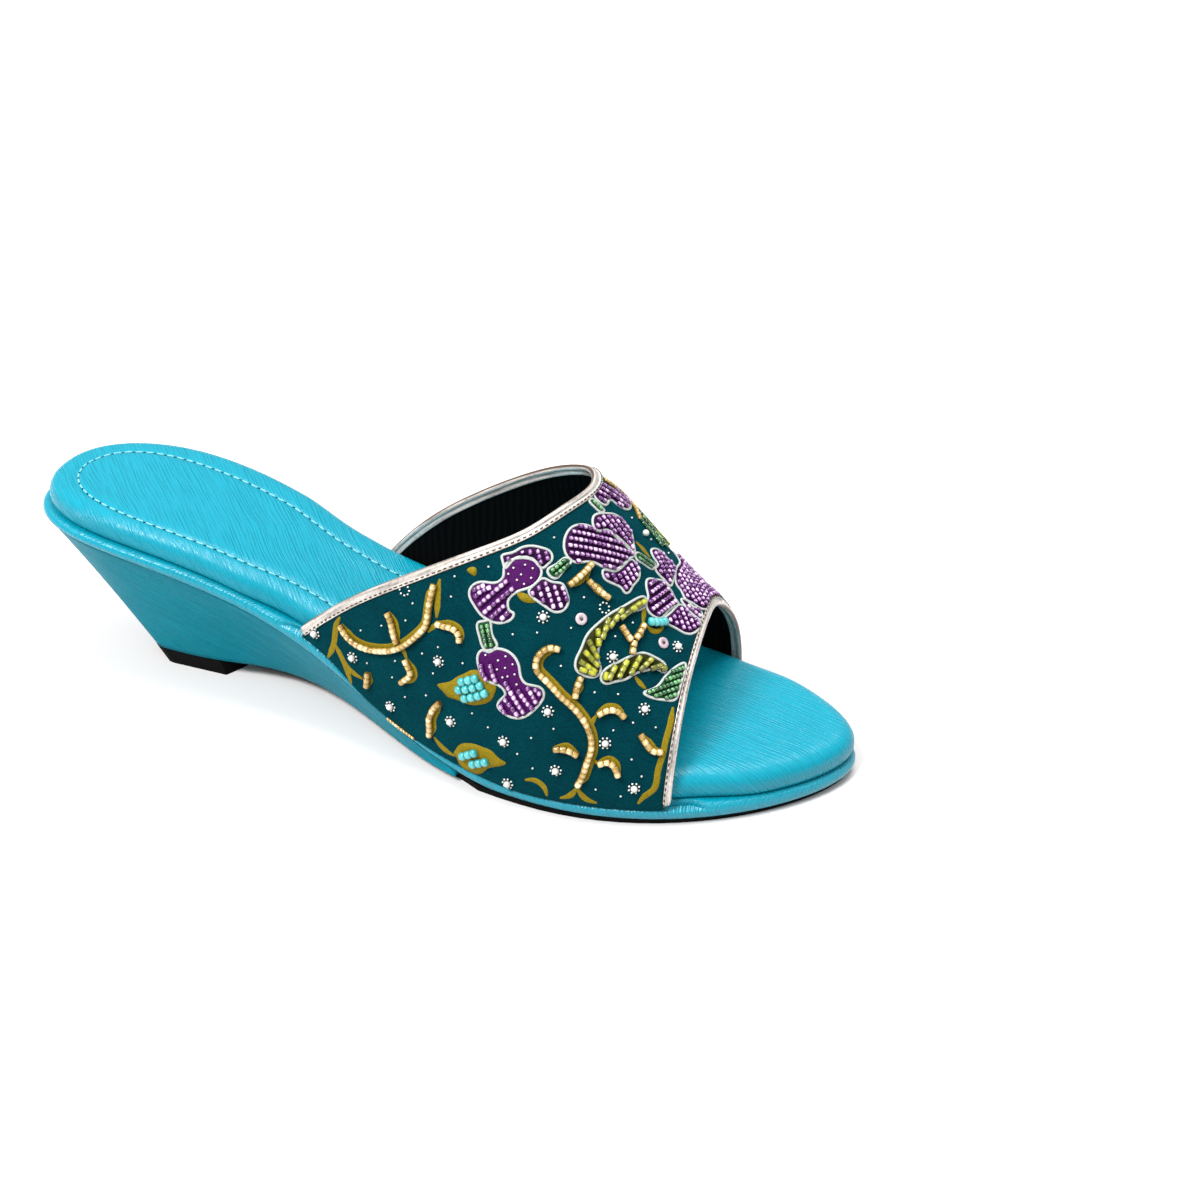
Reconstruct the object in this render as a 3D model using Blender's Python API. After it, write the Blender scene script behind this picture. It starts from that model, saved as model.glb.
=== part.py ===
"""A right-foot wedge mule with an open toe, standing on Z = 0 with its toe towards +X.

Sizes are in millimetres: X from the back of the heel, Y from the sole's long axis towards
the big-toe side, Z up from the floor. Each mesh is turned into metres as it is made, and
the pieces hang on one empty that brings the middle of the shoe to the origin.
"""
from collections import namedtuple

import bmesh
import bpy
import numpy as np
from mathutils import Matrix

MILLIMETRE = 0.001
GAP = 0.3

# Driving dimensions of the sole
SHOE_LENGTH = 245.0
HEEL_RADIUS = 28.6
TOE_RADIUS = 10.2
OUTSOLE_THICKNESS = 1.8
OUTSOLE_TOE_THICKNESS = 0.8
OUTSOLE_INSET = 1.4
OUTSOLE_WAIST_INSET = 2.4
BREAST_X = 66.0
BALL_BACK_X = 146.0
BALL_FRONT_X = 208.0
ARCH_CURVE = 1.6
TOE_SPRING = 0.5
RAND_ROLL = 1.7
RAND_HEEL_PROUD = 1.5
RAND_PROUD_RUN = 70.0
RAND_STEP_SHARE = 0.62
RAND_STEP_LOWEST = 0.12
RAND_STEP_HIGHEST = 0.8
INSOLE_THICKNESS = 7.1
INSOLE_FREE_INSET = 1.0
INSOLE_CROWN = 0.5

# Driving dimensions of the heel
LIFT_HEIGHT = 4.5
LIFT_BACK_X = 31.5
LIFT_CORNER_X = 56.5
LIFT_FRONT_X = 61.5
LIFT_HALF_WIDTH = 13.6
LIFT_LENGTH_TAPER = 0.93
LIFT_LEAN = 2.4
HEEL_BACK_ROUND = 7.0
HEEL_BACK_FULLNESS = 2.6
WEDGE_TOP_INSET = 1.3
WEDGE_HEEL_FLARE = 2.0
WEDGE_FLARE_RUN = 40.0
WEDGE_FRONT_X = 141.0
WEDGE_HOLLOW = 0.3

# Driving dimensions of the upper
WALL = 2.0
LAP_CLEARANCE = 0.9
VAMP_END_RUN = 4.0
PIPING_RADIUS = 1.05

# Mesh steps
SIDE_STEPS = 56
SIDE_ROUNDNESS = 0.8
CUT_MARGIN = 1.0
CAP_STEPS = 4
RAND_PARTS_BELOW = (0.0, 0.2, 0.5, 0.8, 1.0)
RAND_PARTS_ABOVE = (0.08, 0.55, 1.0)
WEDGE_LAYERS = 6
LIFT_SIDE_STEPS = 12
LIFT_FRONT_STEPS = 5
ARCH_STEPS = 36
VAMP_STEPS = 20
PIPING_SIDES = 8
SHARP_ANGLE = np.radians(40.0)

# The plan of the sole: half its width, and where its middle lies, at shares of the length
Plan = namedtuple("Plan", "along half_width centre")
PLAN = [
    Plan(0.00, 0.0, 0.0),
    Plan(0.12, 26.0, 0.0),
    Plan(0.28, 25.8, -1.1),
    Plan(0.42, 26.6, -3.3),
    Plan(0.55, 35.0, -1.8),
    Plan(0.70, 41.0, -0.3),
    Plan(0.86, 32.5, 2.9),
    Plan(1.00, 0.0, 7.8),
]

# The side view: the seat that the insole lies on, and the lower edge of the rand
Profile = namedtuple("Profile", "along seat rand_foot")
PROFILE = [
    Profile(0.00, 47.8, 44.8),
    Profile(0.12, 46.6, 43.4),
    Profile(0.25, 41.4, 37.2),
    Profile(0.38, 30.9, 25.7),
    Profile(0.50, 19.2, 10.4),
    Profile(0.62, 10.8, 2.0),
    Profile(0.75, 7.1, 1.0),
    Profile(0.87, 6.3, 1.0),
    Profile(1.00, 5.8, 1.0),
]

# How far the vamp's lower edge laps down over the rand
Lap = namedtuple("Lap", "along depth")
LAP = [
    Lap(0.340, 0.4),
    Lap(0.385, 0.5),
    Lap(0.420, 2.6),
    Lap(0.450, 5.4),
    Lap(0.485, 6.6),
    Lap(0.550, 6.3),
    Lap(0.600, 5.1),
    Lap(0.650, 3.9),
    Lap(0.700, 2.3),
    Lap(0.770, 1.0),
    Lap(0.860, 0.8),
]

# Sections of the last: rise over the seat, fullness of each side, and the ridge's offset
Last = namedtuple("Last", "along rise outer_fullness inner_fullness ridge")
LAST = [
    Last(0.34, 60.4, 2.14, 2.24, 8.4),
    Last(0.39, 65.4, 2.12, 2.22, 8.3),
    Last(0.49, 74.4, 2.10, 2.21, 8.2),
    Last(0.59, 75.9, 2.06, 2.18, 8.1),
    Last(0.69, 62.0, 2.02, 2.16, 8.0),
    Last(0.78, 41.1, 1.98, 2.14, 7.9),
    Last(0.82, 33.9, 1.96, 2.12, 7.8),
    Last(0.88, 24.4, 1.94, 2.10, 7.8),
]

# Where the collar and the toe opening cross the last, from its outer base (-1) to its inner base (1)
Opening = namedtuple("Opening", "across collar_x toe_x")
OPENING = [
    Opening(-1.00, 91.8, 199.8),
    Opening(-0.80, 109.8, 199.5),
    Opening(-0.60, 132.5, 199.0),
    Opening(-0.40, 151.2, 198.4),
    Opening(-0.20, 160.3, 198.0),
    Opening(0.00, 164.1, 197.6),
    Opening(0.20, 161.4, 197.8),
    Opening(0.40, 153.4, 199.6),
    Opening(0.60, 136.4, 201.4),
    Opening(0.80, 113.6, 202.6),
    Opening(1.00, 97.0, 203.4),
]

# The underside of the wedge, from the back of the lift to where it runs out on the outsole
WedgeFoot = namedtuple("WedgeFoot", "x half_width centre")
WEDGE_FOOT = [
    WedgeFoot(31.5, 13.2, 0.0),
    WedgeFoot(57.0, 13.4, 0.0),
    WedgeFoot(75.0, 11.0, -0.3),
    WedgeFoot(93.0, 13.4, -1.2),
    WedgeFoot(106.0, 18.8, -1.8),
    WedgeFoot(119.0, 25.8, -1.8),
    WedgeFoot(131.0, 32.0, -1.6),
    WedgeFoot(147.0, 37.6, -1.3),
]

# The insole's round edge: height as a share of its thickness, and how far in it lies
EdgeLayer = namedtuple("EdgeLayer", "height inset")
INSOLE_EDGE = [
    EdgeLayer(0.00, 1.0),
    EdgeLayer(0.12, 0.3),
    EdgeLayer(0.32, 0.0),
    EdgeLayer(0.62, 0.5),
    EdgeLayer(0.84, 1.9),
    EdgeLayer(0.96, 4.0),
]


def spline(stations, values, at):
    """Read the natural cubic spline through (stations, values) at the places in at."""
    stations = np.asarray(stations, float)
    values = np.asarray(values, float)
    at = np.asarray(at, float)
    count = len(stations)
    steps = np.diff(stations)
    slopes = np.diff(values) / steps
    matrix = np.eye(count)
    change = np.zeros(count)
    for i in range(1, count - 1):
        matrix[i, i - 1:i + 2] = steps[i - 1], 2.0 * (steps[i - 1] + steps[i]), steps[i]
        change[i] = 6.0 * (slopes[i] - slopes[i - 1])
    bend = np.linalg.solve(matrix, change)
    i = np.clip(np.searchsorted(stations, at) - 1, 0, count - 2)
    before = (at - stations[i]) / steps[i]
    after = 1.0 - before
    line = values[i] * after + values[i + 1] * before
    curve = bend[i] * (after**3 - after) + bend[i + 1] * (before**3 - before)
    return line + curve * steps[i] ** 2 / 6.0


def column(table, name):
    return [getattr(row, name) for row in table]


def read(table, name, x):
    """Read one column of a table whose rows lie at shares of the shoe's length."""
    return spline(column(table, "along"), column(table, name), np.asarray(x, float) / SHOE_LENGTH)


def half_width(x):
    """Half the width of the sole, round at heel and toe with the radii given for them."""
    turn = np.arccos(1.0 - 2.0 * np.clip(np.asarray(x, float) / SHOE_LENGTH, 0.0, 1.0))
    turns = np.arccos(1.0 - 2.0 * np.asarray(column(PLAN, "along")))
    spread = np.empty(len(PLAN))
    spread[0] = np.sqrt(HEEL_RADIUS * SHOE_LENGTH / 2.0)
    spread[1:-1] = np.asarray(column(PLAN, "half_width"))[1:-1] / np.sin(turns[1:-1])
    spread[-1] = np.sqrt(TOE_RADIUS * SHOE_LENGTH / 2.0)
    return np.sin(turn) * spline(turns, spread, turn)


def centre(x):
    return read(PLAN, "centre", x)


def seat(x):
    return read(PROFILE, "seat", x)


def tread(x):
    """Height of the sole's underside: flat at the ball, rising to the heel breast and the toe."""
    x = np.asarray(x, float)
    arch = np.clip((BALL_BACK_X - x) / (BALL_BACK_X - BREAST_X), 0.0, 1.0)
    spring = np.clip((x - BALL_FRONT_X) / (SHOE_LENGTH - BALL_FRONT_X), 0.0, 1.0)
    return (LIFT_HEIGHT - OUTSOLE_THICKNESS) * arch**ARCH_CURVE + TOE_SPRING * spring**2


def outsole_top(x):
    """Upper face of the outsole, which is skived thinner towards the toe."""
    skived = np.clip((np.asarray(x, float) - BALL_BACK_X) / (SHOE_LENGTH - BALL_BACK_X), 0.0, 1.0)
    return tread(x) + OUTSOLE_THICKNESS + (OUTSOLE_TOE_THICKNESS - OUTSOLE_THICKNESS) * skived


def rand_foot(x):
    """Lower edge of the rand, which comes down onto the outsole at the ball."""
    return np.maximum(read(PROFILE, "rand_foot", x), outsole_top(x) + GAP)


def lap_depth(x):
    return read(LAP, "depth", x)


def heel_proud(x):
    """How far the rand stands out past the sole's outline, round the back of the heel."""
    return RAND_HEEL_PROUD * np.clip(1.0 - np.asarray(x, float) / RAND_PROUD_RUN, 0.0, 1.0)


def under_vamp(x):
    """1 along the vamp and a short run past each end of it, and 0 beyond a second such run."""
    back = (np.asarray(x, float) - min(column(OPENING, "collar_x"))) / VAMP_END_RUN + 2.0
    front = (max(column(OPENING, "toe_x")) - np.asarray(x, float)) / VAMP_END_RUN + 2.0
    return np.clip(np.minimum(back, front), 0.0, 1.0)


def plan_sides(inset):
    """The outer and inner side of the sole's outline, moved in by inset(x) along its normals."""
    share = np.linspace(0.0, 1.0, SIDE_STEPS + 1)
    rounded = (1.0 - np.cos(np.pi * share)) / 2.0
    x = SHOE_LENGTH * (share + (rounded - share) * SIDE_ROUNDNESS)
    outer = np.column_stack([x, centre(x) - half_width(x)])
    inner = np.column_stack([x, centre(x) + half_width(x)])
    loop = np.vstack([outer, inner[-2:0:-1]])
    along = np.roll(loop, -1, axis=0) - np.roll(loop, 1, axis=0)
    inward = np.column_stack([-along[:, 1], along[:, 0]])
    inward /= np.linalg.norm(inward, axis=1)[:, None]
    loop = loop + inward * np.asarray(inset(loop[:, 0]))[:, None]
    outer = loop[:SIDE_STEPS + 1]
    inner = np.vstack([loop[:1], loop[:SIDE_STEPS:-1], loop[SIDE_STEPS:SIDE_STEPS + 1]])
    return outer, inner


def cut_sides(sides, start, end):
    """Keep the part of two sides between start and end, with a row exactly at each cut."""
    middle = (sides[0][:, 0] + sides[1][:, 0]) / 2.0
    kept = (middle > start + CUT_MARGIN) & (middle < end - CUT_MARGIN)
    cut = []
    for x, y in (side.T for side in sides):
        places = np.concatenate([[max(start, x[0])], x[kept], [min(end, x[-1])]])
        cut.append(np.column_stack([places, np.interp(places, x, y)]))
    return cut


def raised(side, height):
    """Points of a side with a third coordinate."""
    return np.column_stack([side, np.broadcast_to(height, len(side))])


def make_object(name, bm, material, root):
    """Turn a bmesh in millimetres into a smooth-shaded object in metres on the shoe's empty."""
    bmesh.ops.recalc_face_normals(bm, faces=bm.faces)
    bmesh.ops.triangulate(bm, faces=bm.faces)
    bm.transform(Matrix.Scale(MILLIMETRE, 4))
    mesh = bpy.data.meshes.new(name)
    bm.to_mesh(mesh)
    bm.free()
    mesh.shade_smooth()
    mesh.set_sharp_from_angle(angle=SHARP_ANGLE)
    mesh.materials.append(material)
    piece = bpy.data.objects.new(name, mesh)
    bpy.context.scene.collection.objects.link(piece)
    piece.parent = root
    return piece


def make_material(name, colour, roughness, metallic=0.0):
    material = bpy.data.materials.new(name)
    material.use_nodes = True
    shader = material.node_tree.nodes["Principled BSDF"]
    shader.inputs["Base Color"].default_value = (*colour, 1.0)
    shader.inputs["Roughness"].default_value = roughness
    shader.inputs["Metallic"].default_value = metallic
    return material


def between(bm, left, right, crown=0.0):
    """New points from left to right, raised by crown in the middle, or none if they are one."""
    if left is right:
        return []
    points = []
    for share in np.arange(1, CAP_STEPS) / CAP_STEPS:
        x, y, z = left.co.lerp(right.co, share)
        points.append(bm.verts.new((x, y, z + crown * 4.0 * share * (1.0 - share))))
    return points


def close_across(bm, left, right, back, front, crown):
    """Close the space between two sides with strips across it, raised by crown in the middle."""
    inside = [between(bm, *pair, crown) for pair in zip(left[1:-1], right[1:-1])]
    rows = []
    for start, points, end in zip(left, [back, *inside, front], right):
        rows.append([start, *points, end] if points else [start] * (CAP_STEPS + 1))
    for low, high in zip(rows, rows[1:]):
        for k in range(CAP_STEPS):
            corners = (low[k], low[k + 1], high[k + 1], high[k])
            bm.faces.new(list(dict.fromkeys(corners)))


def build_plate(layers, crown=0.0):
    """A closed plate from layers, lowest first, each with the points of its outer and inner side.

    Sides that end in the same point share it. Other ends are closed straight across.
    """
    bm = bmesh.new()
    rings = []
    caps = []
    for outer, inner in layers:
        left = [bm.verts.new(point) for point in outer]
        right = [bm.verts.new(point) for point in inner[1:-1]]
        first, last = [
            left[end] if np.allclose(outer[end], inner[end]) else bm.verts.new(inner[end])
            for end in (0, -1)
        ]
        right = [first, *right, last]
        back = between(bm, left[0], first)
        front = between(bm, left[-1], last)
        rings.append(list(dict.fromkeys(left + front + right[::-1] + back[::-1])))
        caps.append((left, right, back, front))
    for low, high in zip(rings, rings[1:]):
        for i in range(len(low)):
            bm.faces.new((low[i - 1], low[i], high[i], high[i - 1]))
    close_across(bm, *caps[0], 0.0)
    close_across(bm, *caps[-1], crown)
    return bm


def make_insole(material, root):
    """Padded insole with a round edge, drawn in where the vamp passes down outside it."""
    pressed = WALL + LAP_CLEARANCE - INSOLE_FREE_INSET
    layers = []
    for row in INSOLE_EDGE:
        sides = plan_sides(lambda x: INSOLE_FREE_INSET + row.inset + pressed * under_vamp(x))
        lift = GAP + row.height * INSOLE_THICKNESS
        layers.append([raised(side, seat(side[:, 0]) + lift) for side in sides])
    return make_object("insole", build_plate(layers, INSOLE_CROWN), material, root)


def rand_layer(part, above_step):
    """One layer of the rand: part is its share of the height below or above the vamp's step."""
    def height_share(x):
        tall = seat(x) - rand_foot(x)
        lapped = (tall - lap_depth(x) - LAP_CLEARANCE) / tall
        lapped = np.clip(lapped, RAND_STEP_LOWEST, RAND_STEP_HIGHEST)
        step = RAND_STEP_SHARE + (lapped - RAND_STEP_SHARE) * under_vamp(x)
        return step + (1.0 - step) * part if above_step else step * part

    def inset(x):
        roll = RAND_ROLL * (1.0 - np.sqrt(1.0 - (2.0 * height_share(x) - 1.0) ** 2)) - heel_proud(x)
        stepped = np.maximum(WALL + 2.0 * GAP - roll, 0.0) * under_vamp(x)
        return roll + stepped if above_step else roll

    layer = []
    for side in plan_sides(inset):
        x = side[:, 0]
        foot = rand_foot(x)
        layer.append(raised(side, foot + (seat(x) - foot) * height_share(x)))
    return layer


def make_midsole_rand(material, root):
    """Covered platform with a rolled edge, stepped in where the vamp laps over it."""
    layers = [rand_layer(part, False) for part in RAND_PARTS_BELOW]
    layers += [rand_layer(part, True) for part in RAND_PARTS_ABOVE]
    return make_object("midsole_rand", build_plate(layers), material, root)


def foot_half_width(x):
    """Half the width of the wedge's underside, rounded at the back of the heel."""
    back = np.clip((np.asarray(x, float) - LIFT_BACK_X) / HEEL_BACK_ROUND, 0.0, 1.0)
    rounding = (1.0 - (1.0 - back) ** HEEL_BACK_FULLNESS) ** (1.0 / HEEL_BACK_FULLNESS)
    return spline(column(WEDGE_FOOT, "x"), column(WEDGE_FOOT, "half_width"), x) * rounding


def foot_centre(x):
    return spline(column(WEDGE_FOOT, "x"), column(WEDGE_FOOT, "centre"), x)


def wedge_top_inset(x):
    """How far the wedge's top lies in from the sole's outline; it flares out round the back of the heel."""
    return WEDGE_TOP_INSET - WEDGE_HEEL_FLARE * np.clip(1.0 - np.asarray(x, float) / WEDGE_FLARE_RUN, 0.0, 1.0)


def make_wedge(material, root):
    """Covered wedge, ruled from under the rand down to the small heel and the outsole."""
    top_sides = cut_sides(plan_sides(wedge_top_inset), wedge_top_inset(0.0), WEDGE_FRONT_X)
    rulings = []
    for sign, side in zip((-1.0, 1.0), top_sides):
        top_x = side[:, 0]
        top = raised(side, rand_foot(top_x) - GAP)
        share = (top_x - top_x[0]) / (top_x[-1] - top_x[0])
        foot_x = LIFT_BACK_X + (WEDGE_FRONT_X - LIFT_BACK_X) * share
        foot_y = foot_centre(foot_x) + sign * foot_half_width(foot_x)
        foot = raised(np.column_stack([foot_x, foot_y]), outsole_top(foot_x) + GAP)
        rulings.append((top, foot, sign))
    layers = []
    for rise in np.linspace(0.0, 1.0, WEDGE_LAYERS):
        layer = []
        for top, foot, sign in rulings:
            side = foot + (top - foot) * rise
            side[1:, 1] -= sign * WEDGE_HOLLOW * 4.0 * rise * (1.0 - rise)
            layer.append(side)
        layers.append(layer)
    return make_object("wedge", build_plate(layers), material, root)


def make_outsole(material, root):
    """Thin sheet sole from the heel breast to the toe, as wide as the wedge at the waist."""
    plan = plan_sides(lambda x: np.full(len(x), OUTSOLE_INSET))
    last_foot_x = WEDGE_FOOT[-1].x
    sides = []
    for sign, side in zip((-1.0, 1.0), cut_sides(plan, BREAST_X, SHOE_LENGTH)):
        x = np.minimum(side[:, 0], last_foot_x)
        waist = foot_centre(x) + sign * (foot_half_width(x) - OUTSOLE_WAIST_INSET)
        narrow = np.where(sign * waist < sign * side[:, 1], waist, side[:, 1])
        side[:, 1] = np.where(side[:, 0] < last_foot_x, narrow, side[:, 1])
        sides.append(side)
    layers = [
        [raised(side, height(side[:, 0])) for side in sides]
        for height in (tread, outsole_top)
    ]
    return make_object("outsole", build_plate(layers), material, root)


def make_heel_lift(material, root):
    """Small top piece under the heel, with a bowed front, leaning with the back of the wedge."""
    body = np.linspace(0.0, 1.0, LIFT_SIDE_STEPS + 1) ** 2
    bow = np.linspace(1.0, 0.0, LIFT_FRONT_STEPS + 1)[1:] ** 2
    x = np.concatenate([
        LIFT_BACK_X + (LIFT_CORNER_X - LIFT_BACK_X) * body,
        LIFT_FRONT_X - (LIFT_FRONT_X - LIFT_CORNER_X) * bow,
    ])
    front = np.sqrt(np.clip((LIFT_FRONT_X - x) / (LIFT_FRONT_X - LIFT_CORNER_X), 0.0, 1.0))
    half = LIFT_HALF_WIDTH * foot_half_width(x) / foot_half_width(LIFT_CORNER_X)
    half = np.minimum(half, LIFT_HALF_WIDTH) * front
    middle = (LIFT_BACK_X + LIFT_FRONT_X) / 2.0
    layers = []
    for height, scale, lean in ((0.0, LIFT_LENGTH_TAPER, LIFT_LEAN), (LIFT_HEIGHT, 1.0, 0.0)):
        layer_x = middle + (x - middle) * scale + lean
        sides = [np.column_stack([layer_x, sign * half]) for sign in (-1.0, 1.0)]
        layers.append([raised(side, height) for side in sides])
    return make_object("heel_lift", build_plate(layers), material, root)


def last_surface(x, across):
    """Point of the last at x and at a turn across it, from its outer base (-1) to its inner (1)."""
    turn = np.abs(across) * np.pi / 2.0
    fullness = np.where(across < 0.0, read(LAST, "outer_fullness", x), read(LAST, "inner_fullness", x))
    out = np.sin(turn) ** (2.0 / fullness)
    up = np.clip(np.cos(turn), 0.0, 1.0) ** (2.0 / fullness)
    y = centre(x) + np.sign(across) * half_width(x) * out + read(LAST, "ridge", x) * (1.0 - out)
    return np.stack([x, y, seat(x) + read(LAST, "rise", x) * up], axis=-1)


def vamp_walls():
    """Grids of points on the vamp's outer and inner face, and the normals of the outer one.

    Rows run across the foot and columns from the collar to the toe opening. The first and the
    last row are the lower edges, which hang straight down from the base of the last.
    """
    across = np.linspace(-1.0, 1.0, ARCH_STEPS + 1)
    collar = spline(column(OPENING, "across"), column(OPENING, "collar_x"), across)
    toe = spline(column(OPENING, "across"), column(OPENING, "toe_x"), across)
    along = np.linspace(0.0, 1.0, VAMP_STEPS + 1)
    x = collar[:, None] + (toe - collar)[:, None] * along
    arch = last_surface(x, np.broadcast_to(across[:, None], x.shape))
    hems = []
    for row in (arch[0], arch[-1]):
        hem = row.copy()
        hem[:, 2] -= lap_depth(hem[:, 0])
        hems.append(hem)
    outer = np.concatenate([hems[:1], arch, hems[1:]])
    normals = np.cross(np.gradient(outer, axis=1), np.gradient(outer, axis=0))
    normals /= np.linalg.norm(normals, axis=2)[:, :, None]
    normals *= np.sign(normals[len(normals) // 2, 0, 2])
    return outer, outer - normals * WALL, normals


def make_upper(material, root):
    """The vamp: one shell of even wall, open at the collar, the toe and underneath."""
    bm = bmesh.new()
    grids = [[[bm.verts.new(point) for point in row] for row in wall] for wall in vamp_walls()[:2]]
    outer, inner = grids
    rows = len(outer)
    for grid in grids:
        for low, high in zip(grid, grid[1:]):
            for j in range(VAMP_STEPS):
                bm.faces.new((low[j], low[j + 1], high[j + 1], high[j]))
    for i in (0, rows - 1):
        for j in range(VAMP_STEPS):
            bm.faces.new((outer[i][j], outer[i][j + 1], inner[i][j + 1], inner[i][j]))
    for j in (0, VAMP_STEPS):
        for i in range(rows - 1):
            bm.faces.new((outer[i][j], outer[i + 1][j], inner[i + 1][j], inner[i][j]))
    return make_object("upper", bm, material, root)


def make_piping(name, edge, material, root):
    """A round bead just off one edge of the vamp: edge 0 is the collar, -1 the toe opening.

    It runs from base to base and leaves out the lower edges.
    """
    outer, inner, normals = (grid[1:-1] for grid in vamp_walls())
    middle = (outer[:, edge] + inner[:, edge]) / 2.0
    inside = (outer[:, 1 if edge == 0 else -2] + inner[:, 1 if edge == 0 else -2]) / 2.0
    normal = normals[:, edge]
    off = np.cross(np.gradient(middle, axis=0), normal)
    off /= np.linalg.norm(off, axis=1)[:, None]
    off *= np.sign(np.sum(off * (middle - inside), axis=1))[:, None]
    path = middle + off * (PIPING_RADIUS + GAP)
    bm = bmesh.new()
    rings = []
    for k in range(PIPING_SIDES):
        turn = 2.0 * np.pi * k / PIPING_SIDES
        line = path + PIPING_RADIUS * (np.cos(turn) * normal + np.sin(turn) * off)
        rings.append([bm.verts.new(point) for point in line])
    for k in range(PIPING_SIDES):
        for i in range(len(path) - 1):
            bm.faces.new((rings[k - 1][i], rings[k][i], rings[k][i + 1], rings[k - 1][i + 1]))
    bm.faces.new([ring[0] for ring in rings])
    bm.faces.new([ring[-1] for ring in rings])
    return make_object(name, bm, material, root)


def make_root():
    """An empty that carries the shoe, placed so that the sole's outline is centred on it."""
    root = bpy.data.objects.new("shoe", None)
    bpy.context.scene.collection.objects.link(root)
    outline = np.vstack(plan_sides(lambda x: -heel_proud(x)))
    middle = (outline.min(axis=0) + outline.max(axis=0)) / 2.0
    root.location = (-middle[0] * MILLIMETRE, -middle[1] * MILLIMETRE, 0.0)
    return root


def main():
    for item in list(bpy.data.objects):
        bpy.data.objects.remove(item, do_unlink=True)
    root = make_root()
    cover = make_material("turquoise_cover", (0.02, 0.42, 0.58), 0.45)
    rubber = make_material("black_rubber", (0.012, 0.012, 0.013), 0.6)
    velvet = make_material("teal_velvet", (0.004, 0.085, 0.1), 0.9)
    silver = make_material("silver_piping", (0.72, 0.72, 0.7), 0.28, 1.0)
    make_outsole(rubber, root)
    make_heel_lift(rubber, root)
    make_wedge(cover, root)
    make_midsole_rand(cover, root)
    make_insole(cover, root)
    make_upper(velvet, root)
    make_piping("collar_piping", 0, silver, root)
    make_piping("toe_piping", -1, silver, root)
    bpy.context.view_layer.update()


main()
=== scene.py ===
"""Looks of a right-foot wedge mule with a beaded velvet vamp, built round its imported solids.

Shapes are worked out in millimetres in the shoe's own frame: X from the back of the heel,
Y from the sole's long axis towards the big-toe side, Z up from the floor. The sections and
functions of sole and last are those of the solids, read here in finer steps. Each piece is
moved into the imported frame, in metres, as it is made.
"""

from collections import namedtuple

import bmesh
import bpy
import numpy as np
from mathutils import Matrix, Vector
from mathutils.bvhtree import BVHTree
from mathutils.geometry import delaunay_2d_cdt


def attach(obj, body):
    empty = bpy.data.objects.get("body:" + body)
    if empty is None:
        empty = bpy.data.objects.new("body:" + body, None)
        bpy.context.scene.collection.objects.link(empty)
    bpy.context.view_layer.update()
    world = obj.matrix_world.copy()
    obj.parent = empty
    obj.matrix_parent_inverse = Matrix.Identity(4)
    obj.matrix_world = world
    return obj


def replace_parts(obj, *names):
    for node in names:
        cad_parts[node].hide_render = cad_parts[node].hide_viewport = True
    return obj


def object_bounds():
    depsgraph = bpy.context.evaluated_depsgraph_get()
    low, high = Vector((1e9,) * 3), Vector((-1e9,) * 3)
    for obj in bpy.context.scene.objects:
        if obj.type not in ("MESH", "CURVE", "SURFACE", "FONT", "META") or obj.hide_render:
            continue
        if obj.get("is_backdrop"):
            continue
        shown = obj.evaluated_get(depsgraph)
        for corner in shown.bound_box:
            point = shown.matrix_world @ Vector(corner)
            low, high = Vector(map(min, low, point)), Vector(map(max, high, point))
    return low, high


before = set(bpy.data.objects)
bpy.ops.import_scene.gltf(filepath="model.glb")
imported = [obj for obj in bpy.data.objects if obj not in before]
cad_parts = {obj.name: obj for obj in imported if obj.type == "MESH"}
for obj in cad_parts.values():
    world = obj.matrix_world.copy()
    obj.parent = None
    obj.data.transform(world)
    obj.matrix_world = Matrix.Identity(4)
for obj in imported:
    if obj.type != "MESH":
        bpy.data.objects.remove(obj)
CAD_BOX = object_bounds()

MILLIMETRE = 0.001
GAP = 0.3
RNG = np.random.default_rng(11)
UPWARD = np.array([0.0, 0.0, 1.0])

# Driving dimensions of the sole
SHOE_LENGTH = 245.0
HEEL_RADIUS = 28.6
TOE_RADIUS = 10.2
OUTSOLE_THICKNESS = 1.8
OUTSOLE_TOE_THICKNESS = 0.8
BREAST_X = 66.0
BALL_BACK_X = 146.0
BALL_FRONT_X = 208.0
ARCH_CURVE = 1.6
TOE_SPRING = 0.5
RAND_ROLL = 1.7
RAND_HEEL_PROUD = 1.5
RAND_PROUD_RUN = 70.0
RAND_STEP_SHARE = 0.62
RAND_STEP_LOWEST = 0.12
RAND_STEP_HIGHEST = 0.8
INSOLE_THICKNESS = 7.1
INSOLE_FREE_INSET = 1.0

# Driving dimensions of the heel
LIFT_HEIGHT = 4.5
LIFT_BACK_X = 31.5
HEEL_BACK_ROUND = 7.0
HEEL_BACK_FULLNESS = 2.6
WEDGE_TOP_INSET = 1.3
WEDGE_HEEL_FLARE = 2.0
WEDGE_FLARE_RUN = 40.0
WEDGE_FRONT_X = 141.0
WEDGE_HOLLOW = 0.3

# Driving dimensions of the upper
WALL = 2.0
LAP_CLEARANCE = 0.9
VAMP_END_RUN = 4.0

# Mesh steps
SIDE_STEPS = 180
SIDE_ROUNDNESS = 0.8
CUT_MARGIN = 0.4
SHORTEST = 1e-6
CAP_STEPS = 30
WEDGE_LAYERS = 26
ARCH_STEPS = 180
VAMP_STEPS = 110
HEM_STEPS = 5
NORMAL_STEP = 0.004

# The plan of the sole: half its width, and where its middle lies, at shares of the length
Plan = namedtuple("Plan", "along half_width centre")
PLAN = [
    Plan(0.00, 0.0, 0.0),
    Plan(0.12, 26.0, 0.0),
    Plan(0.28, 25.8, -1.1),
    Plan(0.42, 26.6, -3.3),
    Plan(0.55, 35.0, -1.8),
    Plan(0.70, 41.0, -0.3),
    Plan(0.86, 32.5, 2.9),
    Plan(1.00, 0.0, 7.8),
]

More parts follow.
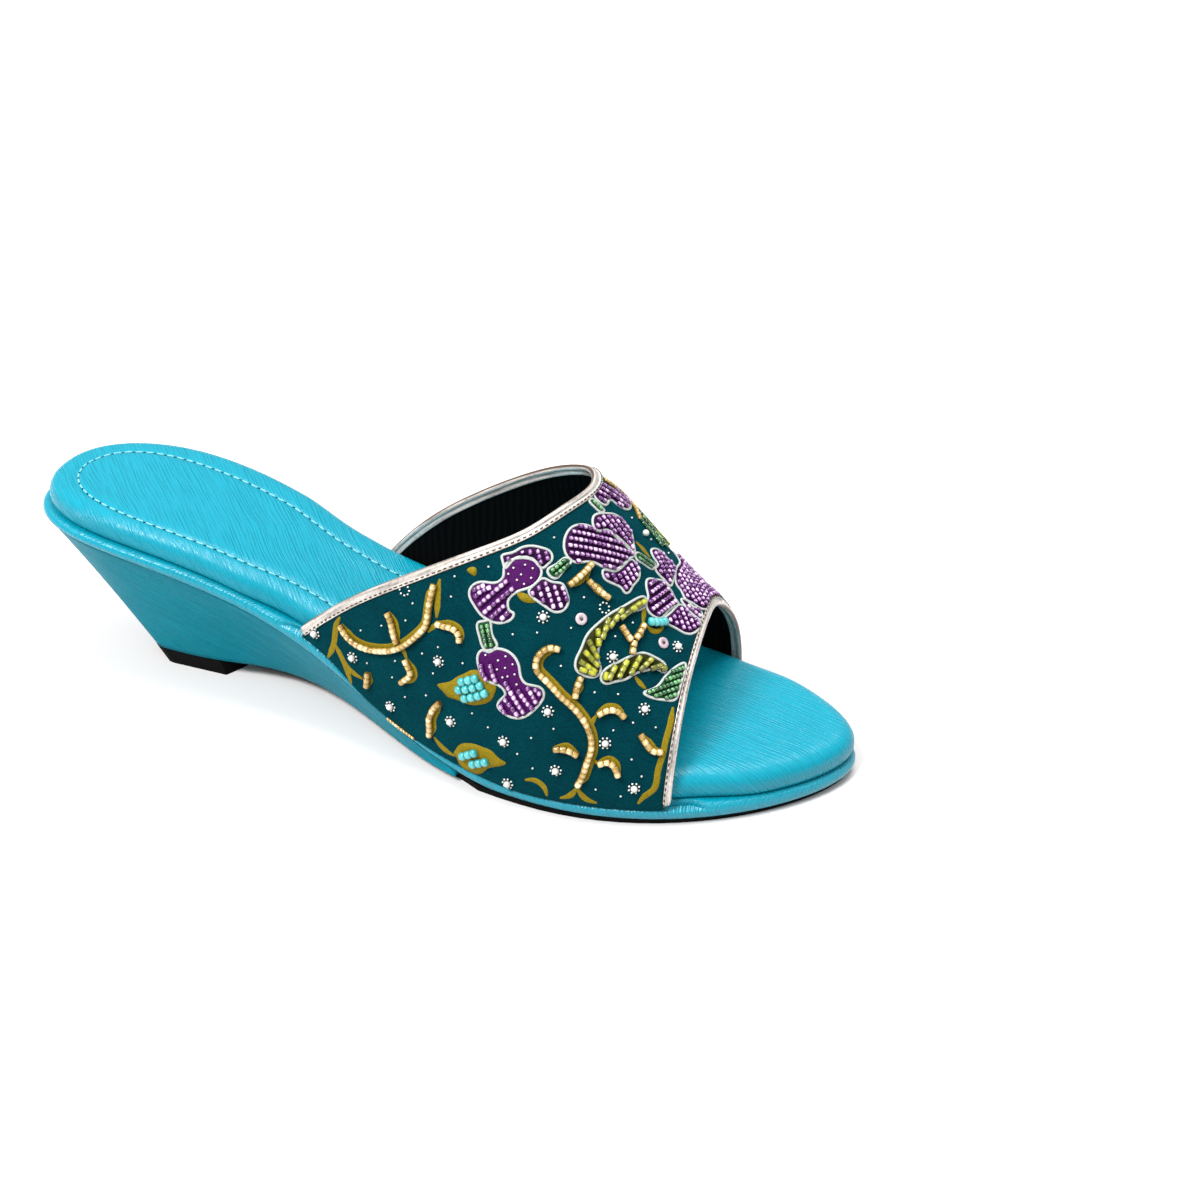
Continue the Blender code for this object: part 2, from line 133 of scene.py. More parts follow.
# The side view: the seat that the insole lies on, and the lower edge of the rand
Profile = namedtuple("Profile", "along seat rand_foot")
PROFILE = [
    Profile(0.00, 47.8, 44.8),
    Profile(0.12, 46.6, 43.4),
    Profile(0.25, 41.4, 37.2),
    Profile(0.38, 30.9, 25.7),
    Profile(0.50, 19.2, 10.4),
    Profile(0.62, 10.8, 2.0),
    Profile(0.75, 7.1, 1.0),
    Profile(0.87, 6.3, 1.0),
    Profile(1.00, 5.8, 1.0),
]

# How far the vamp's lower edge laps down over the rand
Lap = namedtuple("Lap", "along depth")
LAP = [
    Lap(0.340, 0.4),
    Lap(0.385, 0.5),
    Lap(0.420, 2.6),
    Lap(0.450, 5.4),
    Lap(0.485, 6.6),
    Lap(0.550, 6.3),
    Lap(0.600, 5.1),
    Lap(0.650, 3.9),
    Lap(0.700, 2.3),
    Lap(0.770, 1.0),
    Lap(0.860, 0.8),
]

# Sections of the last: rise over the seat, fullness of each side, and the ridge's offset
Last = namedtuple("Last", "along rise outer_fullness inner_fullness ridge")
LAST = [
    Last(0.34, 60.4, 2.14, 2.24, 8.4),
    Last(0.39, 65.4, 2.12, 2.22, 8.3),
    Last(0.49, 74.4, 2.10, 2.21, 8.2),
    Last(0.59, 75.9, 2.06, 2.18, 8.1),
    Last(0.69, 62.0, 2.02, 2.16, 8.0),
    Last(0.78, 41.1, 1.98, 2.14, 7.9),
    Last(0.82, 33.9, 1.96, 2.12, 7.8),
    Last(0.88, 24.4, 1.94, 2.10, 7.8),
]

# Where the collar and the toe opening cross the last, from its outer base (-1) to its inner base (1)
Opening = namedtuple("Opening", "across collar_x toe_x")
OPENING = [
    Opening(-1.00, 91.8, 199.8),
    Opening(-0.80, 109.8, 199.5),
    Opening(-0.60, 132.5, 199.0),
    Opening(-0.40, 151.2, 198.4),
    Opening(-0.20, 160.3, 198.0),
    Opening(0.00, 164.1, 197.6),
    Opening(0.20, 161.4, 197.8),
    Opening(0.40, 153.4, 199.6),
    Opening(0.60, 136.4, 201.4),
    Opening(0.80, 113.6, 202.6),
    Opening(1.00, 97.0, 203.4),
]

# The underside of the wedge, from the back of the lift to where it runs out on the outsole
WedgeFoot = namedtuple("WedgeFoot", "x half_width centre")
WEDGE_FOOT = [
    WedgeFoot(31.5, 13.2, 0.0),
    WedgeFoot(57.0, 13.4, 0.0),
    WedgeFoot(75.0, 11.0, -0.3),
    WedgeFoot(93.0, 13.4, -1.2),
    WedgeFoot(106.0, 18.8, -1.8),
    WedgeFoot(119.0, 25.8, -1.8),
    WedgeFoot(131.0, 32.0, -1.6),
    WedgeFoot(147.0, 37.6, -1.3),
]

# The camera that took the photograph, as fitted to the shoe's outline
PHOTO_SIZE = 1200.0
CAMERA_AZIMUTH = np.radians(14.99)
CAMERA_ELEVATION = np.radians(32.04)
CAMERA_ROLL = np.radians(3.66)
CAMERA_DISTANCE = 460.0
CAMERA_TARGET = np.array([122.5, 0.0, 20.0])
CAMERA_SLIDE_RIGHT = -45.86
CAMERA_SLIDE_UP = -11.65
FOCAL_PIXELS = 1575.2
SENSOR_WIDTH = 36.0
CLIP_START = 0.01


# Small sums that are used throughout
def unit(vectors):
    return vectors / np.linalg.norm(vectors, axis=-1, keepdims=True)


def path_run(path):
    """How far along a path each of its points lies."""
    return np.concatenate([[0.0], np.cumsum(np.linalg.norm(np.diff(path, axis=0), axis=1))])


def part_way(x, start, end):
    """How far x lies on the way from start to end, from 0 to 1."""
    return np.clip((np.asarray(x, float) - start) / (end - start), 0.0, 1.0)


def end_way(run, reach):
    """0 at both ends of a path with this run, and 1 from reach onwards."""
    return part_way(np.minimum(run, run[-1] - run), 0.0, reach)


def loop_tangents(loop):
    return np.roll(loop, -1, axis=0) - np.roll(loop, 1, axis=0)


# Curves and sections of the shoe
def spline(stations, values, at):
    """Read the natural cubic spline through (stations, values) at the places in at."""
    stations = np.asarray(stations, float)
    values = np.asarray(values, float)
    at = np.asarray(at, float)
    count = len(stations)
    steps = np.diff(stations)
    slopes = np.diff(values) / steps
    matrix = np.eye(count)
    change = np.zeros(count)
    for i in range(1, count - 1):
        matrix[i, i - 1:i + 2] = steps[i - 1], 2.0 * (steps[i - 1] + steps[i]), steps[i]
        change[i] = 6.0 * (slopes[i] - slopes[i - 1])
    bend = np.linalg.solve(matrix, change)
    i = np.clip(np.searchsorted(stations, at) - 1, 0, count - 2)
    before = (at - stations[i]) / steps[i]
    after = 1.0 - before
    line = values[i] * after + values[i + 1] * before
    curve = bend[i] * (after**3 - after) + bend[i + 1] * (before**3 - before)
    return line + curve * steps[i] ** 2 / 6.0


def column(table, name):
    return [getattr(row, name) for row in table]


def read(table, name, x):
    """Read one column of a table whose rows lie at shares of the shoe's length."""
    return spline(column(table, "along"), column(table, name), np.asarray(x, float) / SHOE_LENGTH)


def half_width(x):
    """Half the width of the sole, round at heel and toe with the radii given for them."""
    turn = np.arccos(1.0 - 2.0 * np.clip(np.asarray(x, float) / SHOE_LENGTH, 0.0, 1.0))
    turns = np.arccos(1.0 - 2.0 * np.asarray(column(PLAN, "along")))
    spread = np.empty(len(PLAN))
    spread[0] = np.sqrt(HEEL_RADIUS * SHOE_LENGTH / 2.0)
    spread[1:-1] = np.asarray(column(PLAN, "half_width"))[1:-1] / np.sin(turns[1:-1])
    spread[-1] = np.sqrt(TOE_RADIUS * SHOE_LENGTH / 2.0)
    return np.sin(turn) * spline(turns, spread, turn)


def centre(x):
    return read(PLAN, "centre", x)


def seat(x):
    return read(PROFILE, "seat", x)


def tread(x):
    """Height of the sole's underside: flat at the ball, rising to the heel breast and the toe."""
    arch = part_way(x, BALL_BACK_X, BREAST_X)
    spring = part_way(x, BALL_FRONT_X, SHOE_LENGTH)
    return (LIFT_HEIGHT - OUTSOLE_THICKNESS) * arch**ARCH_CURVE + TOE_SPRING * spring**2


def outsole_top(x):
    """Upper face of the outsole, which is skived thinner towards the toe."""
    skived = part_way(x, BALL_BACK_X, SHOE_LENGTH)
    return tread(x) + OUTSOLE_THICKNESS + (OUTSOLE_TOE_THICKNESS - OUTSOLE_THICKNESS) * skived


def rand_foot(x):
    """Lower edge of the rand, which comes down onto the outsole at the ball."""
    return np.maximum(read(PROFILE, "rand_foot", x), outsole_top(x) + GAP)


def lap_depth(x):
    return read(LAP, "depth", x)


def heel_proud(x):
    """How far the rand stands out past the sole's outline, round the back of the heel."""
    return RAND_HEEL_PROUD * part_way(x, RAND_PROUD_RUN, 0.0)


def under_vamp(x, run=VAMP_END_RUN):
    """1 along the vamp and a little past each end of it, falling to 0 over a further run."""
    back = min(column(OPENING, "collar_x")) - VAMP_END_RUN
    front = max(column(OPENING, "toe_x")) + VAMP_END_RUN
    return np.minimum(part_way(x, back - run, back), part_way(x, front + run, front))


def plan_sides(inset):
    """The outer and inner side of the sole's outline, moved in by inset(x) along its normals."""
    share = np.linspace(0.0, 1.0, SIDE_STEPS + 1)
    rounded = (1.0 - np.cos(np.pi * share)) / 2.0
    x = SHOE_LENGTH * (share + (rounded - share) * SIDE_ROUNDNESS)
    outer = np.column_stack([x, centre(x) - half_width(x)])
    inner = np.column_stack([x, centre(x) + half_width(x)])
    loop = np.vstack([outer, inner[-2:0:-1]])
    along = loop_tangents(loop)
    inward = unit(np.column_stack([-along[:, 1], along[:, 0]]))
    loop = loop + inward * np.asarray(inset(loop[:, 0]))[:, None]
    outer = loop[:SIDE_STEPS + 1]
    inner = np.vstack([loop[:1], loop[:SIDE_STEPS:-1], loop[SIDE_STEPS:SIDE_STEPS + 1]])
    return outer, inner


def cut_sides(sides, start, end):
    """Keep the part of two sides between start and end, with a row exactly at each cut."""
    middle = (sides[0][:, 0] + sides[1][:, 0]) / 2.0
    kept = (middle > start + CUT_MARGIN) & (middle < end - CUT_MARGIN)
    cut = []
    for x, y in (side.T for side in sides):
        places = np.concatenate([[max(start, x[0])], x[kept], [min(end, x[-1])]])
        cut.append(np.column_stack([places, np.interp(places, x, y)]))
    return cut


def raised(side, height):
    """Points of a side with a third coordinate."""
    return np.column_stack([side, np.broadcast_to(height, len(side))])


OUTLINE = np.vstack(plan_sides(lambda x: -heel_proud(x)))
ORIGIN = np.array([*(OUTLINE.min(axis=0) + OUTLINE.max(axis=0)) / 2.0, 0.0])


# Meshes
def link_object(name, data):
    item = bpy.data.objects.new(name, data)
    bpy.context.scene.collection.objects.link(item)
    return item


def make_piece(name, points, faces, materials, slot, face_materials=None, **attributes):
    """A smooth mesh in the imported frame, riding on the shoe, with attributes on its points."""
    mesh = bpy.data.meshes.new(name)
    mesh.from_pydata(((np.asarray(points) - ORIGIN) * MILLIMETRE).tolist(), [], faces)
    editable = bmesh.new()
    editable.from_mesh(mesh)
    bmesh.ops.recalc_face_normals(editable, faces=editable.faces)
    editable.to_mesh(mesh)
    editable.free()
    mesh.shade_smooth()
    for material in materials:
        mesh.materials.append(material)
    if face_materials is not None:
        mesh.polygons.foreach_set("material_index", np.asarray(face_materials, np.int32))
    for key, values in attributes.items():
        values = np.asarray(values, np.float32)
        kind = "FLOAT" if values.ndim == 1 else "FLOAT_VECTOR"
        field = "value" if values.ndim == 1 else "vector"
        mesh.attributes.new(key, kind, "POINT").data.foreach_set(field, values.ravel())
    mesh.update()
    piece = link_object(name, mesh)
    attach(piece, "root")
    return piece


def grid_faces(index):
    """Quads of a grid of point numbers, with corners that are one point left out."""
    faces = []
    for low, high in zip(index, index[1:]):
        for a, b, c, d in zip(low, low[1:], high[1:], high):
            corners = list(dict.fromkeys((int(a), int(b), int(c), int(d))))
            if len(corners) > 2:
                faces.append(corners)
    return faces


def number_grid(rows, columns):
    return np.arange(rows * columns).reshape(rows, columns)


def tube_faces(index, closed=False):
    """Faces of a tube from a grid whose rows are its rings, capped unless it closes on itself."""
    rings = np.vstack([index, index[:1]]) if closed else index
    faces = grid_faces(np.column_stack([rings, rings[:, :1]]))
    return faces if closed else [*faces, index[0].tolist(), index[-1].tolist()]


def plate(layers):
    """Points and faces of a closed plate from layers, lowest first, of an outer and an inner side.

    Each layer becomes a ring, and the first and the last are closed with rows across. Columns
    past the third are carried along. The third result tells the layer that each point lies in,
    -1 for the rows across below and the number of layers for those above.
    """
    points = []
    layer_of = []
    share = (np.arange(1, CAP_STEPS) / CAP_STEPS)[:, None]

    def add(rows, layer):
        numbers = range(len(points), len(points) + len(rows))
        points.extend(rows)
        layer_of.extend([layer] * len(rows))
        return list(numbers)

    rings = []
    for number, (outer, inner) in enumerate(layers):
        left = add(outer, number)
        right = [None, *add(inner[1:-1], number), None]
        between = []
        for end in (0, -1):
            joined = np.allclose(outer[end, :3], inner[end, :3])
            right[end] = left[end] if joined else add(inner[end:][:1], number)[0]
            span = [] if joined else add(outer[end] + (inner[end] - outer[end]) * share, number)
            between.append(span)
        rings.append((left, right, *between))
    loops = [
        list(dict.fromkeys([*left, *front, *right[::-1], *back[::-1]]))
        for left, right, back, front in rings
    ]
    faces = []
    for low, high in zip(loops, loops[1:]):
        faces += grid_faces([[*low, low[0]], [*high, high[0]]])
    for (left, right, back, front), layer in ((rings[0], -1), (rings[-1], len(layers))):
        rows = []
        for i, (a, b) in enumerate(zip(left, right)):
            if a == b:
                rows.append([a] * (CAP_STEPS + 1))
                continue
            span = {0: back, len(left) - 1: front}.get(i)
            if span is None:
                span = add(points[a] + (points[b] - points[a]) * share, layer)
            rows.append([a, *span, b])
        faces += grid_faces(rows)
    return np.array(points), faces, np.array(layer_of)


def outline_distance(points, loop):
    """Distance in plan from each point to a closed outline."""
    nearest = np.full(len(points), np.inf)
    for start, step in zip(loop, np.roll(loop, -1, axis=0) - loop):
        share = np.clip(((points - start) @ step) / max(step @ step, SHORTEST**2), 0.0, 1.0)
        gap = points - start - share[:, None] * step
        nearest = np.minimum(nearest, np.hypot(gap[:, 0], gap[:, 1]))
    return nearest


def make_cover(name, points, faces, material):
    """A covered piece from a plate whose last two columns hold the leather's grain."""
    grain = np.column_stack([points[:, 3:], np.zeros(len(points))])
    return make_piece(name, points[:, :3], faces, [material], "cover", grain=grain)


# Materials
WAVE_BEND = 5.0


def new_material(name, settings):
    """A material whose shader has constants set on its sockets."""
    material = bpy.data.materials.new(name)
    material.use_nodes = True
    shader = material.node_tree.nodes["Principled BSDF"]
    for key, value in settings.items():
        shader.inputs[key].default_value = value
    return material, material.node_tree, shader


def add_node(tree, kind, inputs, **settings):
    """A shader node with its inputs linked, where they are sockets, or else set."""
    item = tree.nodes.new(kind)
    for key, value in settings.items():
        setattr(item, key, value)
    for key, value in inputs.items():
        if isinstance(value, bpy.types.NodeSocket):
            tree.links.new(value, item.inputs[key])
        else:
            item.inputs[key].default_value = value
    return item


def attribute(tree, name, output="Vector"):
    return add_node(tree, "ShaderNodeAttribute", {}, attribute_name=name).outputs[output]


def noise(tree, place, scale, detail=2.0, rough=0.5, output="Fac"):
    inputs = {"Vector": place, "Scale": scale, "Detail": detail, "Roughness": rough}
    return add_node(tree, "ShaderNodeTexNoise", inputs).outputs[output]


def wave(tree, place, scale, detail, detail_scale, direction):
    """Bands across a direction, bent out of shape by noise."""
    inputs = {"Vector": place, "Scale": scale, "Distortion": WAVE_BEND, "Detail": detail}
    inputs["Detail Scale"] = detail_scale
    return add_node(tree, "ShaderNodeTexWave", inputs, bands_direction=direction).outputs["Fac"]


def vector_math(tree, operation, *values):
    return add_node(tree, "ShaderNodeVectorMath", dict(enumerate(values)), operation=operation).outputs[0]


def math(tree, operation, *values):
    return add_node(tree, "ShaderNodeMath", dict(enumerate(values)), operation=operation).outputs[0]


def stretch(tree, place, scales):
    return vector_math(tree, "MULTIPLY", place, scales)


def plus(tree, base, extra, share):
    """A base value and a share of an extra one."""
    return math(tree, "MULTIPLY_ADD", extra, share, base)


def ramp(tree, factor, stops):
    """A colour ramp through (place, colour) stops."""
    item = add_node(tree, "ShaderNodeValToRGB", {"Fac": factor})
    elements = item.color_ramp.elements
    while len(elements) < len(stops):
        elements.new(0.5)
    for element, (place, colour) in zip(elements, stops):
        element.position = place
        element.color = (*colour, 1.0)
    return item.outputs["Color"]


def grey(value):
    return (value, value, value)


def shade(colour, share):
    return tuple(min(channel * share, 1.0) for channel in colour)


def add_bump(tree, shader, height, depth):
    """Bump of a height field from 0 to 1 that is depth millimetres deep."""
    inputs = {"Height": height, "Distance": depth * MILLIMETRE, "Strength": 1.0}
    tree.links.new(add_node(tree, "ShaderNodeBump", inputs).outputs["Normal"], shader.inputs["Normal"])


def link_colour(tree, shader, colour):
    tree.links.new(colour, shader.inputs["Base Color"])


def leather(name, colour, depth, contrast, rough, specular):
    """Soft faux leather with fine wavy streaks that run along the grain's first axis."""
    material, tree, shader = new_material(name, {"Specular IOR Level": specular})
    place = attribute(tree, "grain")
    wander = noise(tree, place, scale=0.07, detail=0.5, output="Color")
    drift = vector_math(tree, "SUBTRACT", wander, grey(0.5))
    place = vector_math(tree, "MULTIPLY_ADD", drift, (2.4, 2.4, 0.0), place)
    streaks = noise(tree, stretch(tree, place, (0.07, 1.8, 1.0)), scale=1.0, detail=1.2)
    fine = noise(tree, stretch(tree, place, (0.14, 3.2, 1.0)), scale=1.0, detail=1.0)
    banded = stretch(tree, place, (0.2, 1.0, 1.0))
    lines = wave(tree, banded, scale=0.3, detail=1.5, detail_scale=1.2, direction="Y")
    height = plus(tree, plus(tree, streaks, fine, share=0.4), lines, share=0.22)
    tone = plus(tree, height, noise(tree, place, scale=0.04), share=0.3)
    link_colour(tree, shader, ramp(tree, tone, [
        (0.7, shade(colour, 1.0 - contrast)),
        (0.95, colour),
        (1.12, shade(colour, 1.0 + 0.5 * contrast)),
    ]))
    relief = ramp(tree, height, [(0.56, grey(0.0)), (1.0, grey(1.0))])
    gloss = ramp(tree, height, [(0.6, grey(rough + 0.08)), (1.0, grey(rough - 0.06))])
    tree.links.new(gloss, shader.inputs["Roughness"])
    add_bump(tree, shader, relief, depth)
    return material


def velvet():
    """Dark teal velvet: a short even pile with a faint sheen."""
    material, tree, shader = new_material("teal_velvet", {
        "Roughness": 0.9, "Specular IOR Level": 0.03, "Sheen Weight": 0.08, "Sheen Roughness": 0.5,
        "Sheen Tint": (0.0, 0.55, 0.62, 1.0),
    })
    place = attribute(tree, "grain")
    pile = noise(tree, place, scale=2.6, detail=3.0, rough=0.6)
    nap = noise(tree, stretch(tree, place, (0.5, 1.1, 1.0)), scale=1.0)
    tone = plus(tree, plus(tree, pile, noise(tree, place, scale=0.09), share=0.3), nap, share=0.25)
    link_colour(tree, shader, ramp(tree, tone, [
        (0.55, (0.0, 0.016, 0.023)),
        (0.77, (0.0, 0.028, 0.038)),
        (1.0, (0.0005, 0.046, 0.058)),
    ]))
    add_bump(tree, shader, pile, depth=0.2)
    return material


def lining():
    """Black lining cloth with a faint ripple across the foot."""
    material, tree, shader = new_material("black_lining", {"Roughness": 0.75, "Specular IOR Level": 0.06})
    place = attribute(tree, "grain")
    ripple = wave(tree, place, scale=0.16, detail=2.0, detail_scale=0.3, direction="X")
    height = plus(tree, ripple, noise(tree, place, scale=3.0), share=0.3)
    link_colour(tree, shader, ramp(tree, height, [(0.1, grey(0.001)), (1.0, grey(0.0025))]))
    add_bump(tree, shader, height, depth=0.12)
    return material


def silver_film():
    """Metallised film over the piping, scuffed and streaked, with a darker brown line along the bead's outer
    tip and painted shade along the strip's edge where it meets the velvet.
    """
    material, tree, shader = new_material("silver_film", {"Metallic": 0.4})
    place = attribute(tree, "grain")
    rim = attribute(tree, "rim", "Fac")
    scuffs = noise(tree, place, scale=1.1, detail=3.0, rough=0.65)
    lines = noise(tree, stretch(tree, place, (0.1, 1.7, 1.0)), scale=1.0)
    # rim brings in a darker line along the bead's tip and painted shade along the strip's outer edge, where
    # it meets the velvet
    scuffs_tip_line_and_edge_shade = plus(tree, plus(tree, rim, scuffs, share=0.4), lines, share=0.6)
    link_colour(tree, shader, ramp(tree, scuffs_tip_line_and_edge_shade, [
        (0.4, (0.7, 0.665, 0.63)),
        (0.52, (0.5, 0.46, 0.42)),
        (0.64, (0.21, 0.175, 0.15)),
        (1.0, (0.1, 0.06, 0.04)),
    ]))
    tree.links.new(ramp(tree, scuffs, [(0.3, grey(0.22)), (0.75, grey(0.4))]), shader.inputs["Roughness"])
    add_bump(tree, shader, lines, depth=0.08)
    return material


def rubber():
    """Matte black rubber with a fine moulded grain."""
    material, tree, shader = new_material("black_rubber", {"Roughness": 0.55, "Specular IOR Level": 0.06})
    place = add_node(tree, "ShaderNodeTexCoord", {}).outputs["Object"]
    dust = noise(tree, place, scale=60.0, detail=3.0)
    link_colour(tree, shader, ramp(tree, dust, [(0.35, grey(0.001)), (0.75, grey(0.003))]))
    add_bump(tree, shader, noise(tree, place, scale=900.0, detail=3.0), depth=0.12)
    return material


def bead_glass(name, dark, light, glint, rough, metallic=0.0):
    """Glossy beads, each with its own tint between dark and light and a painted highlight on top."""
    material, tree, shader = new_material(name, {
        "Roughness": rough, "Metallic": metallic, "Specular IOR Level": 0.6, "Coat Weight": 0.6,
        "Coat Roughness": 0.06,
    })
    swirl = noise(tree, attribute(tree, "grain"), scale=1.3)
    tint = plus(tree, attribute(tree, "tint", "Fac"), swirl, share=0.3)
    # Painted highlight: the colour runs up to glint on the top middle of each bead
    tone = plus(tree, math(tree, "MULTIPLY", tint, 0.5), attribute(tree, "heart", "Fac"), share=0.9)
    link_colour(tree, shader, ramp(tree, tone, [(0.05, dark), (0.5, light), (0.95, glint)]))
    return material


def cloth_ground(name, dark, light):
    """Flat embroidery ground or thread with a fine fibrous mottling."""
    material, tree, shader = new_material(name, {"Roughness": 0.65, "Specular IOR Level": 0.1})
    fibres = noise(tree, attribute(tree, "grain"), scale=2.4, detail=3.0, rough=0.6)
    link_colour(tree, shader, ramp(tree, fibres, [(0.3, dark), (0.7, light)]))
    add_bump(tree, shader, fibres, depth=0.12)
    return material


# The insole: a padded cover with a round edge, sewn down along one line
INSOLE_ROLL = 6.5
INSOLE_ROLL_POWER = 2.7
INSOLE_WIDEST = 0.32
STITCH_TROUGH = 0.45
STITCH_TROUGH_WIDTH = 0.8
STITCH_END_X = 150.0
STITCH_FADE = 20.0
STITCH_PITCH = 3.15
STITCH_SIZE = (2.35, 0.55, 0.44)
STITCH_SINK = 0.1
# Needle holes are dark marks of painted shade, sunk a little into the pad
NEEDLE_HOLE_SIZE = (0.9, 0.6, 0.3)
NEEDLE_HOLE_SINK = 0.18
ROLL_STEPS = 80
PAD_CROWN = 0.35
PAD_SWELL = 0.2
PAD_SWELL_AT = 3.2
PAD_SWELL_WIDTH = 2.4
HEEL_GRAIN_TURN = np.radians(46.0)
TOE_GRAIN_TURN = np.radians(16.0)
GRAIN_TURN_X = 168.0
GRAIN_TURN_RUN = 24.0
EdgeLayer = namedtuple("EdgeLayer", "inset height")
INSOLE_UNDERCUT = [
    EdgeLayer(1.0, 0.0),
    EdgeLayer(0.6, 0.04),
    EdgeLayer(0.3, 0.12),
    EdgeLayer(0.08, 0.22),
]
PAD_DRAW_RUN = 18.0
TOE_RING_START = 3.6
TOE_RING_SQUEEZE = 0.22
TOE_SQUEEZE_X = 205.0

# The line of stitches: how far in from the pad's edge it runs on each side
StitchInset = namedtuple("StitchInset", "x outer inner")
STITCH_INSETS = [
    StitchInset(0.0, 9.2, 9.2),
    StitchInset(20.0, 6.3, 9.2),
    StitchInset(40.0, 5.0, 10.2),
    StitchInset(75.0, 5.8, 10.7),
    StitchInset(105.0, 7.8, 12.2),
    StitchInset(150.0, 9.6, 12.0),
    StitchInset(200.0, 10.0, 10.0),
    StitchInset(245.0, 10.0, 10.0),
]

# Rings of the pad's mesh, as shares of the way in from its edge to the stitches
PAD_RINGS = [0.0, 0.01, 0.03, 0.06, 0.1, 0.15, 0.2, 0.27, 0.34, 0.42, 0.5, 0.6, 0.7, 0.79, 0.85, 0.9,
             0.94, 0.97, 1.0, 1.03, 1.06, 1.1, 1.15, 1.22, 1.3]


def pad_edge(x):
    """How far in from the sole's outline the pad's edge lies, drawn in gently under the vamp."""
    drawn = under_vamp(x, PAD_DRAW_RUN)
    return INSOLE_FREE_INSET + (WALL + LAP_CLEARANCE - INSOLE_FREE_INSET) * drawn**2 * (3.0 - 2.0 * drawn)


def pad_sides(inset):
    """The pad's two sides, moved in from its edge by inset(x, side)."""
    outer = plan_sides(lambda x: pad_edge(x) + inset(x, "outer"))[0]
    inner = plan_sides(lambda x: pad_edge(x) + inset(x, "inner"))[1]
    return outer, inner


def stitch_inset(x, side):
    return spline(column(STITCH_INSETS, "x"), column(STITCH_INSETS, side), x)


def ring_inset(x, side, share):
    """How far in a ring of the pad lies, squeezed together at the narrow toe."""
    inset = share * stitch_inset(x, side)
    free = part_way(x, SHOE_LENGTH, TOE_SQUEEZE_X)
    room = TOE_RING_SQUEEZE + (1.0 - TOE_RING_SQUEEZE) * free**2
    return np.minimum(inset, TOE_RING_START) + np.maximum(inset - TOE_RING_START, 0.0) * room


def roll_height(inset):
    """Height of the pad's rolled edge over the seat."""
    share = 1.0 - (1.0 - part_way(inset, 0.0, INSOLE_ROLL)) ** INSOLE_ROLL_POWER
    share = INSOLE_WIDEST + (1.0 - INSOLE_WIDEST) * share ** (1.0 / INSOLE_ROLL_POWER)
    return GAP + INSOLE_THICKNESS * share + PAD_CROWN * share**4


def pad_height(points):
    """Height over the seat at places of the pad's top: rolled at the edge, drawn in at the stitches."""
    x = points[:, 0]
    edge = pad_sides(lambda x, side: np.zeros(len(x)))
    inset = outline_distance(points, np.vstack([edge[0], edge[1][-2:0:-1]]))
    sewn_at = np.where(points[:, 1] < centre(x), stitch_inset(x, "outer"), stitch_inset(x, "inner"))
    sewn = part_way(x, STITCH_END_X, STITCH_END_X - STITCH_FADE)
    trough = STITCH_TROUGH * np.exp(-((inset - sewn_at) / STITCH_TROUGH_WIDTH) ** 2)
    swell = PAD_SWELL * np.exp(-((inset - sewn_at - PAD_SWELL_AT) / PAD_SWELL_WIDTH) ** 2)
    return roll_height(inset) + (swell - trough) * sewn


def roll_surplus(inset):
    """How much longer than in plan the way over the roll is, from its top out to an inset."""
    steps = np.linspace(0.0, INSOLE_ROLL, ROLL_STEPS)
    arc = path_run(np.column_stack([steps, roll_height(steps)]))
    return np.interp(inset, steps, arc[-1] - arc - INSOLE_ROLL + steps)


def turned(xy, turn):
    """Coordinates in plan turned by an angle, or by one for each point."""
    x, y = xy.T
    return np.column_stack([x * np.cos(turn) - y * np.sin(turn), x * np.sin(turn) + y * np.cos(turn)])


def pad_grain(flat):
    """Coordinates of the pad's grain, which lies more along the shoe at the toe than at the heel."""
    share = part_way(flat[:, 0], GRAIN_TURN_X, GRAIN_TURN_X + GRAIN_TURN_RUN)
    turn = HEEL_GRAIN_TURN + (TOE_GRAIN_TURN - HEEL_GRAIN_TURN) * share
    return turned(flat - (GRAIN_TURN_X, 0.0), turn)


def pad_layer(inset, flat_inset, lift):
    """One layer of the pad: where it lies, and where its leather would lie if it were flat."""
    return [
        np.column_stack([side, seat(side[:, 0]) + lift, pad_grain(flat)])
        for side, flat in zip(pad_sides(inset), pad_sides(flat_inset))
    ]


def undercut_layer(row):
    below = roll_surplus(0.0) + INSOLE_THICKNESS * (INSOLE_WIDEST - row.height)
    return pad_layer(
        lambda x, side: np.full(len(x), row.inset), lambda x, side: np.full(len(x), -below),
        GAP + INSOLE_THICKNESS * row.height,
    )


def ring_layer(share):
    def inset(x, side):
        return ring_inset(x, side, share)

    return pad_layer(inset, lambda x, side: inset(x, side) - roll_surplus(inset(x, side)), 0.0)


def make_insole(material):
    """The padded insole, with its leather's grain laid flat over the top and down the edge."""
    layers = [undercut_layer(row) for row in INSOLE_UNDERCUT]
    layers += [ring_layer(share) for share in PAD_RINGS]
    points, faces, layer_of = plate(layers)
    top = layer_of >= len(INSOLE_UNDERCUT)
    points[top, 2] = seat(points[top, 0]) + pad_height(points[top, :2])
    piece = make_cover("insole_pad", points, faces, material)
    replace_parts(piece, "insole")
    return piece


# The rand: a covered platform with a rolled edge
RAND_PARTS_BELOW = np.linspace(0.0, 1.0, 17)
RAND_PARTS_ABOVE = np.linspace(0.04, 1.0, 10)
RAND_GRAIN_TURN = np.radians(70.0)
WEDGE_GRAIN_TURN = np.radians(35.0)


